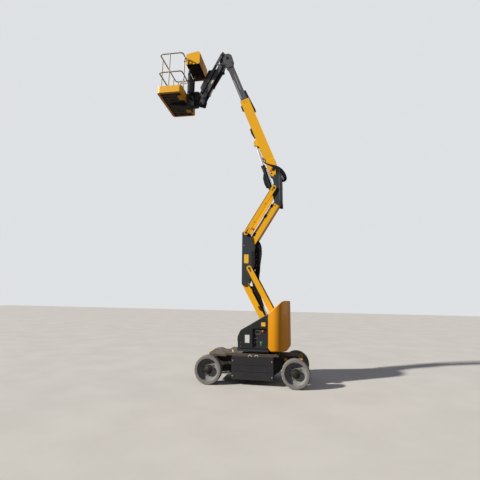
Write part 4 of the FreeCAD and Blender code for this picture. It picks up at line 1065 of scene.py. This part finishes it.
runs += [[(1.235, 0.052, y), (1.200, up_there, y), (1.120, up_there + 0.012, y), (1.000, up_there, y),
          (0.900, up_there, y)] for up_there, y in ((0.080, 0.090), (0.104, 0.078), (0.128, 0.090))]
piece("link_hose_run", both_sides(bundle(runs, link_hose_radius, front_link)), "rubber_black", "front_link")
straps = [across(front_link, oblong(s - 0.018, s + 0.018, low_v, high_v), (0.064, 0.0995), 0.010)
          for s, low_v, high_v in ((joined, 0.050, 0.180), (joined - 0.36, 0.040, 0.140))]
piece("link_straps", both_sides(straps), "nut_dark", "front_link")
print("middle upright", len(made))


# %% [markdown]
# ## Upper riser
# Black guide blocks sit in slots along the upper edge of the arm, and two pipes run between them,
# pale also as painted highlight along that lit edge. A thin brown line along the upper link is painted
# shade at the edge of its near bar.

# %% Upper riser
arm_face = 0.150
guides = [across(upper_arm, oblong(s - 0.045, s + 0.045, -0.104, -0.040), (0.105, arm_face + 0.0045), 0.008)
          for s in (0.311, 0.842, 1.141)]
piece("arm_guides", both_sides(guides), "rubber_black", "upper_arm")
# partly painted highlight: the pipes are pale to stand also for the lit upper edge of the arm
arm_pipe_line = [(0.170, 0.0), (0.20, 0.006), (0.311, 0.009), (0.60, 0.005), (0.842, 0.009), (1.141, 0.009),
                 (1.19, 0.0)]
pipes = [hose([upper_arm.point(s, -0.086 - lift, y) for s, lift in arm_pipe_line], 0.008) for y in (0.128, 0.104)]
piece("arm_pipes", pipes, "pipe_pale", "upper_arm")
rods = [rod(upper_arm.point(s, 0.0, arm_face - 0.001), upper_arm.point(s, 0.0, arm_face + 0.006), 0.012)
        for s in (0.14, 1.18)]
piece("arm_plugs", both_sides(rods), "nut_dark", "upper_arm")
# painted shade: a thin brown line along the edge of the upper link's near bar
edge_shade = [across(upper_link, oblong(0.070, 1.240, -0.056, -0.040), (link_outside - 0.001, link_outside + 0.001),
               0.005, 0.0004)]
piece("upper_link_seam", both_sides(edge_shade), "seam_brown", "upper_link")
screws = [upper_link.point(s, v, 0.232) for s, v in ((0.330, 0.035), (0.860, 0.035), (0.13, 0.0))]
piece("upper_link_screws", both_sides(bolts(screws, left, 0.008)), "nut_dark", "upper_link")
print("upper riser", len(made))


# %% [markdown]
# ## Shoulder
# The upright under the boom has a folded edge, drawn as a lighter strip of painted highlight, and a
# rubber stop. Seven hoses leave it, loop out behind the machine and run up the side of the boom. The
# outermost has its route typed, and the others are that route drawn in towards the middle of the loop.

# %% Top upright and boom root
# painted highlight: a lighter strip on the folded edge where it catches the light
fold_highlight = oblong(-0.050, -0.036, 0.03, 0.655)
piece("top_folds", both_sides([across(top, fold_highlight, (cheek_face - 0.001, cheek_face + 0.004), 0.005)]), "trim_grey",
      "top_upright")
stop = [(-0.108, -0.128), (-0.056, -0.100), (-0.056, -0.010), (-0.108, -0.006)]
piece("top_stops", both_sides([across(top, stop, (0.130, cheek_face + 0.012), 0.012)]), "rubber_black", "top_upright")

root_route = [(0.263, 0.310, 0.130), (0.216, 0.190, 0.138), (0.053, 0.112, 0.146), (-0.086, 0.074, 0.146),
              (-0.200, 0.006, 0.142), (-0.282, -0.090, 0.126), (-0.330, -0.196, 0.100), (-0.330, -0.270, 0.078),
              (-0.282, -0.318, 0.066), (-0.226, -0.312, 0.062)]
root_middle, root_hose_radius = (-0.190, -0.170), 0.0115
spread = [(1.0, 0.0), (0.84, -0.004), (0.68, -0.010), (0.52, -0.012), (0.36, -0.016), (0.92, -0.030), (0.76, -0.040)]


def root_line(share, dy):
    """The outer hose's route, drawn in towards the middle of its loop behind the upright."""
    line = []
    for x, z, y in root_route:
        loose = min(max((0.10 - x) / 0.20, 0), 1)
        k = 1 - (1 - share) * loose
        line.append((root_middle[0] + k * (x - root_middle[0]), root_middle[1] + k * (z - root_middle[1]), y + dy))
    return line


root_lines = [root_line(share, dy) for share, dy in spread]
root_hoses = piece("boom_hoses", bundle(root_lines, root_hose_radius, shoulder), "rubber_black")
tuple(shoulder.point(-0.260, -0.290))
tuple(shoulder.point(0.180, 0.190))
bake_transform(root_hoses)
crimps = []
for line in root_lines:
    crimps += hose_end([shoulder.point(*point) for point in line], root_hose_radius)
piece("boom_hose_ends", crimps, "nut_dark", "boom")
root_marks = [block(pivot + (x, 0.1195, z), (0.050, 0.020, 0.003), boom.u, left, 0.008, 0.001)
              for x, z in ((0.004, 0.056), (0.052, -0.046))]
piece("boom_root_slots", both_sides(root_marks), "rubber_black", "boom")
print("shoulder", len(made))


# %% [markdown]
# ## Boom
# Under the boom lie two steel pipes, a black wedge with a pale tip and a black block at the mouth.
# Screws in rows hold the wear pads inside the mouth. The lift cylinder has a pipe, its ports and a
# black valve cover.

# %% Boom and its cylinder
low_side, boom_side = -0.104, 0.098
seat = low_side + 0.002
boom_pipe_line = [(0.270, seat), (0.280, -0.126), (0.310, -0.136), (0.450, -0.138), (0.610, -0.136), (0.636, -0.124),
                  (0.645, seat)]
under = [hose([boom.point(u, v, y) for u, v in boom_pipe_line], 0.007) for y in (0.048, 0.020)]
piece("boom_pipes", under, "zinc", "boom")
wedge = [(1.020, seat), (1.050, -0.128), (1.200, -0.153), (1.300, -0.150), (1.318, -0.132), (1.320, seat)]
wedge_tip = [(1.320, -0.134), (1.340, -0.130), (1.340, seat), (1.320, seat)]
piece("boom_wedge", [across(boom, wedge, (-0.045, 0.045), 0.004)], "rubber_black", "boom")
piece("boom_wedge_tip", [across(boom, wedge_tip, (-0.030, 0.030), 0.003)], "pipe_pale", "boom")
mouth_block = [(1.910, seat), (1.918, -0.139), (2.040, -0.139), (2.052, seat)]
piece("boom_mouth_block", [across(boom, mouth_block, (-0.050, 0.050), 0.006)], "rubber_black", "boom")
pad_screws = [boom.point(u, 0.018 + v, boom_side) for u in (2.060, 2.115) for v in (-0.030, 0.030)]
piece("pad_screws", both_sides(bolts(pad_screws, left, 0.0065)), "nut_dark", "boom")
pipe, ports = barrel_pipe(lift_ram, 0.780, 0.050, 1)
piece("lift_pipe", pipe, "nut_dark", "lift_barrel")
piece("lift_ports", ports, "nut_dark", "lift_barrel")
valve = [across(lift_ram, [(0.150, -0.040), (0.190, -0.098), (0.300, -0.116), (0.430, -0.106), (0.540, -0.062),
                           (0.560, -0.040)][::-1], (-0.030, 0.056), 0.020)]
piece("lift_valve", valve, "rubber_black", "lift_barrel")
print("boom pieces", len(made))


# %% [markdown]
# ## Extension and head
# The inner box has two bright strips on each side, painted highlights where light runs along its
# edges. The cheeks of its nose are bolted, and a round cap covers each end of the knuckle.

# %% Extension
# painted highlight: bright strips along the edges of the inner box
painted_highlights = [across(boom, oblong(u0, u1, low, low + wide), (0.0734, 0.0742), 0.004, 0.0001)
          for u0, u1, low, wide in ((2.500, 3.020, 0.024, 0.016), (2.230, 2.860, -0.060, 0.026))]
piece("worn_strips", both_sides(painted_highlights), "strip_bright", "extension")
nose_face, knuckle_along = 0.092, 3.584
nose_bolts = [boom.point(knuckle_along + u, v, nose_face)
              for u, v in ((0.075, 0.105), (-0.060, 0.120), (0.090, -0.060), (-0.190, -0.060), (-0.190, 0.080))]
piece("nose_bolts", both_sides(bolts(nose_bolts, left, 0.010)), "nut_dark", "extension")
knuckle_cap = [(0.0455, -0.0005), (0.0455, 0.010), (0.040, 0.014), (0.018, 0.014), (0.016, 0.018), (0, 0.018)]
piece("knuckle_caps", both_sides([set_on(lathe(knuckle_cap, 32), knuckle + (0, nose_face, 0), left)]),
      "rubber_black", "extension")
print("extension", len(made))


# %% [markdown]
# ## Jib
# A blank pale label lies on the beam, a bent steel hook hangs under the head, hoses lie stacked over
# the beam, and a corner plate closes each side of the beam's lower end.

# %% Jib
beam_face = 0.106
piece("jib_label", [plate_on(jib, 0.555, -0.010, beam_face - 0.0004, 0.120, 0.036)], "plate_cream", "jib_beam")
hook = [(0.075, -0.200, 0.050), (0.045, -0.262, 0.050), (0.062, -0.330, 0.040), (0.100, -0.400, 0.020),
        (0.130, -0.428, 0.0), (0.160, -0.400, -0.010)]
piece("jib_hook", bundle([hook], 0.011, head), "nut_dark", "jib_head")
corner = [(1.060, -0.045), (1.120, -0.080), (1.256, -0.112), (1.280, -0.090), (1.280, -0.030)]
piece("jib_corners", both_sides([across(jib, corner, (0.0945, 0.1065), 0.010)]), "paint_grey", "jib_beam")
mark_outlines = [[(0.535, 0.104), (0.560, 0.140), (0.620, 0.137), (0.598, 0.104)],
                 [(0.955, 0.050), (0.975, 0.050), (1.040, 0.095), (1.020, 0.095)]]
guard_marks = [across(jib_upper, outline, (0.0835, 0.0850), 0.004, 0.0004) for outline in mark_outlines]
piece("guard_marks", both_sides(guard_marks), "rubber_black", "jib_link")
guard_screws = [jib_upper.point(s, 0.052, 0.084) for s in (0.560, 0.760, 0.900, 1.110)]
piece("guard_screws", both_sides(bolts(guard_screws, left, 0.006)), "nut_dark", "jib_link")
over_beam = [[(0.150, 0.060, y), (0.175, up_there, y), (0.330, up_there, y), (0.500, up_there, y), (0.530, 0.060, y)]
             for up_there in (0.072, 0.098, 0.124) for y in (-0.034, 0.0, 0.034)]
piece("jib_hoses", bundle(over_beam, 0.0140, jib), "rubber_black", "jib_beam")
jib_ports = barrel_pipe(jib_ram, 0.560, 0.032, 1)[1]
piece("jib_ports", jib_ports, "nut_dark", "jib_barrel")
link_screws = [jib_upper.point(s, 0.0, 0.114) for s in (0.260, 0.980)]
piece("jib_link_screws", both_sides(bolts(link_screws, left, 0.009)), "nut_dark", "jib_link")
print("jib", len(made))


# %% [markdown]
# ## Platform
# The floor is expanded steel: two families of slanted strands. Each family is a set of parallel
# lines cut to the frame, and each line becomes a flat bar, all worked out as arrays. An angle frame
# and cross ribs carry the mesh, a yellow lip runs round underneath, and two brackets hang below, their
# yellow lighter than the paint as painted light.

# %% Expanded steel floor
floor_low, floor_high = (np.array(corner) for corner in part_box("platform_floor"))
frame_wide, frame_high, mesh_level = 0.040, 0.030, 0.0235
strand_angle, strand_pitch, strand_wide, strand_thick = 28, 0.026, 0.0205, 0.0060


def strands(angle, low, high):
    """Parallel flat bars across a rectangle: line k keeps a distance k times the pitch from the
    middle, and is cut where it leaves the rectangle."""
    middle, half = (low + high) / 2, (high - low) / 2
    line, away = np.array([math.cos(angle), math.sin(angle)]), np.array([-math.sin(angle), math.cos(angle)])
    reach = abs(away) @ half
    offset = np.arange(-reach + strand_pitch / 2, reach, strand_pitch)[:, None] * away
    to_high, to_low = (half - offset) / line, (-half - offset) / line
    t_end, t_start = np.maximum(to_high, to_low).min(1), np.minimum(to_high, to_low).max(1)
    keep = t_end - t_start > 0.02
    start = middle + offset[keep] + t_start[keep, None] * line
    end = middle + offset[keep] + t_end[keep, None] * line
    wide = away * strand_wide / 2
    flat = np.stack([start - wide, start + wide, end + wide, end - wide], 1)
    corners = np.concatenate([np.concatenate([flat, np.full(flat.shape[:2] + (1,), level)], 2)
                              for level in (0.0, strand_thick)], 1)
    sides = np.array([[0, 1, 2, 3], [7, 6, 5, 4], [0, 4, 5, 1], [1, 5, 6, 2], [2, 6, 7, 3], [3, 7, 4, 0]])
    faces = (np.arange(len(corners))[:, None, None] * 8 + sides).reshape(-1, 4)
    return corners.reshape(-1, 3), faces.tolist()


def closed_path(profile, path):
    """A profile of (outwards, up) carried round a closed path in plan; the last ring meets the first."""
    outward = path - inset(path, 1.0)
    points = np.zeros((len(path), len(profile), 3))
    points[:, :, :2] = path[:, None] + profile[None, :, :1] * outward[:, None]
    points[:, :, 2] = profile[:, 1]
    rows, cols = points.shape[:2]
    row, col = np.arange(rows)[:, None] * cols, np.arange(cols)[None, :]
    ahead, step = (row + cols) % (rows * cols), (col + 1) % cols
    quads = np.stack([row + col, row + step, ahead + step, ahead + col], -1).reshape(-1, 4)
    return points.reshape(-1, 3), quads.tolist()


plan_size, plan_middle = floor_high[:2] - floor_low[:2], (floor_low + floor_high) / 2
rim_path = rounded(plan_size[0], plan_size[1], 0.075, 8)
base_at = np.array([plan_middle[0], plan_middle[1], floor_low[2]])
angle_iron = np.array([(0, 0), (0, frame_high), (-frame_wide, frame_high), (-frame_wide, frame_high - 0.005),
                       (-0.006, frame_high - 0.005), (-0.006, 0)])
low_edge, high_edge = floor_low[:2] + frame_wide * 0.9, floor_high[:2] - frame_wide * 0.9
lattice = []
for sign in (-1, 1):
    points, faces = strands(sign * math.radians(90 - strand_angle), low_edge, high_edge)
    lattice.append((points + (0, 0, floor_low[2] + mesh_level - strand_thick / 2 + sign * 0.001), faces))
points, faces = closed_path(angle_iron, rim_path)
ribs = [block((plan_middle[0], y, floor_low[2] + 0.004), (plan_size[0] - 0.03, 0.006, 0.018), (1, 0, 0),
              (0, 0, 1), 0.002, 0.0005) for y in np.arange(-0.520, 0.521, 0.130)]
rails_under = [block((plan_middle[0] + dx, plan_middle[1], floor_low[2] + 0.001),
                     (0.030, plan_size[1] - 0.03, 0.020), (1, 0, 0), (0, 0, 1), 0.003, 0.0005)
               for dx in (-0.12, 0.12)]
floor_piece = piece("floor_mesh", lattice + [(points + base_at, faces)] + ribs + rails_under, "grating_steel",
                    "platform")
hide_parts("platform_floor")
lip = np.array([(0.001, -0.0030), (0.001, -0.0004), (-0.062, -0.0004), (-0.062, -0.0030)])
points, faces = closed_path(lip, rim_path)
piece("floor_lip", [(points + base_at, faces)], "paint_yellow", "platform")
# painted light: the brackets take a lighter yellow than the paint, as if lit from below
brackets = [block((plan_middle[0] + dx, y, floor_low[2] - 0.034), (0.120, 0.210, 0.034), (1, 0, 0), (0, 0, 1), 0.016)
            for dx, y in ((-0.235, 0.405), (-0.235, -0.320))]
piece("floor_brackets", brackets, "plate_yellow", "platform")
print("floor strands", sum(len(faces) // 6 for _, faces in lattice))


# %% [markdown]
# ## Console, rail and gate
# Under the yellow cover hang the plugs and slats of the console's box, and three cables that run
# down the panel. Each post stands in a round foot, and the gate closes with a sliding latch.

# %% Console and rail
box_low = np.array(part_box("console_box")[0])
cover_low, cover_high = (np.array(corner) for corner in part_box("console_cover"))
plug = [(0.013, 0), (0.013, 0.010), (0.008, 0.014), (0.006, 0.040), (0.011, 0.046), (0.011, 0.062), (0, 0.066)]
plugs = [set_on(lathe(plug, 14), (box_low[0] + 0.045, y, box_low[2]), (0, 0, -1)) for y in np.linspace(-0.26, 0.26, 8)]
piece("console_plugs", plugs, "plastic_dark", "platform")
slats = [block((box_low[0] + 0.145, y, box_low[2] - 0.012), (0.150, 0.034, 0.013), (1, 0, 0), (0, 0, 1), 0.004)
         for y in np.linspace(-0.30, 0.30, 9)]
piece("console_slats", slats, "nut_dark", "platform")
hangers = [block((cover_low[0] + 0.10, y, cover_low[2] + 0.028), (0.050, 0.030, 0.012), (1, 0, 0), (0, 0, 1), 0.006)
           for y in (-0.385, 0.385)]
piece("console_brackets", hangers, "paint_amber", "platform")
cable_x = cover_high[0] - 0.105
cables = [hose([(box_low[0] + 0.10 + dx, y, box_low[2] + 0.002), (box_low[0] + 0.12 + dx, y, box_low[2] - 0.060),
                (cable_x - 0.02, y + 0.01, box_low[2] - 0.150), (cable_x, y + 0.02, box_low[2] - 0.300),
                (cable_x, y + 0.015, box_low[2] - 0.560), (cable_x, y, box_low[2] - 0.760)], 0.0095)
          for dx, y in ((0.0, -0.12), (0.03, -0.085), (0.05, -0.05))]
piece("console_cables", cables, "rubber_black", "platform")

rail_radius = 0.017
left_y, right_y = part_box("rails_left")[1][1] - rail_radius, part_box("rails_right")[0][1] + rail_radius
feet = [(floor_low[0] + 0.368, left_y), (floor_low[0] + 0.085, right_y), (floor_high[0] - 0.085, right_y)]
feet += [(floor_high[0] - rail_radius, y) for y in (-0.450, 0.450)]
feet += [(floor_low[0] + rail_radius, y) for y in (-0.480, 0.480)]
foot_profile = [(0.027, 0.0), (0.027, 0.004), (0.0195, 0.007), (0.0175, 0.014), (0.0152, 0.017)]
sockets = [set_on(lathe(foot_profile, 20), (x, y, floor_low[2] + frame_high - 0.0005), (0, 0, 1)) for x, y in feet]
piece("post_feet", sockets, "rail_silver", "platform")

gate_low, gate_high = (np.array(corner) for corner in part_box("gate"))
latch_at = np.array([gate_low[0] + 0.020, gate_low[1] + 0.013, (gate_low[2] + gate_high[2]) / 2 + 0.18])
latch = [block(latch_at + (0.0, 0.010, 0), (0.034, 0.120, 0.016), (1, 0, 0), left, 0.006),
         rod(latch_at + (-0.052, 0.018, 0.030), latch_at + (0.030, 0.018, 0.030), 0.007),
         rod(latch_at + (0.004, 0.018, 0.030), latch_at + (0.004, 0.052, 0.030), 0.006)]
piece("gate_latch", latch, "zinc", "gate")
print("console and rail", len(made))


# %% [markdown]
# ## Hoses at the rotator
# Three hoses hang in a loop round the rotator, which on the machine opens and closes as the platform
# swings. They are drawn at rest.

# %% Loops round the rotator
swing = upright(at("platform_swing"))
loop = [(0.165, -0.010, 0.110), (0.110, -0.080, 0.150), (0.020, -0.120, 0.165), (-0.070, -0.080, 0.140),
        (-0.105, 0.010, 0.085), (-0.100, 0.080, 0.066)]
loops = [[(x, z + dz, y + dy) for x, z, y in loop] for dz, dy in ((0, 0), (0.030, -0.010), (0.062, -0.004))]
swing_hoses = piece("swing_hoses", bundle(loops, 0.0095, swing), "rubber_black")
tuple(swing.point(-0.100, 0, 0.10))
tuple(swing.point(0.150, 0, 0.12))
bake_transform(swing_hoses)
print("pieces in all", len(made), "faces", sum(count for _, count in made))
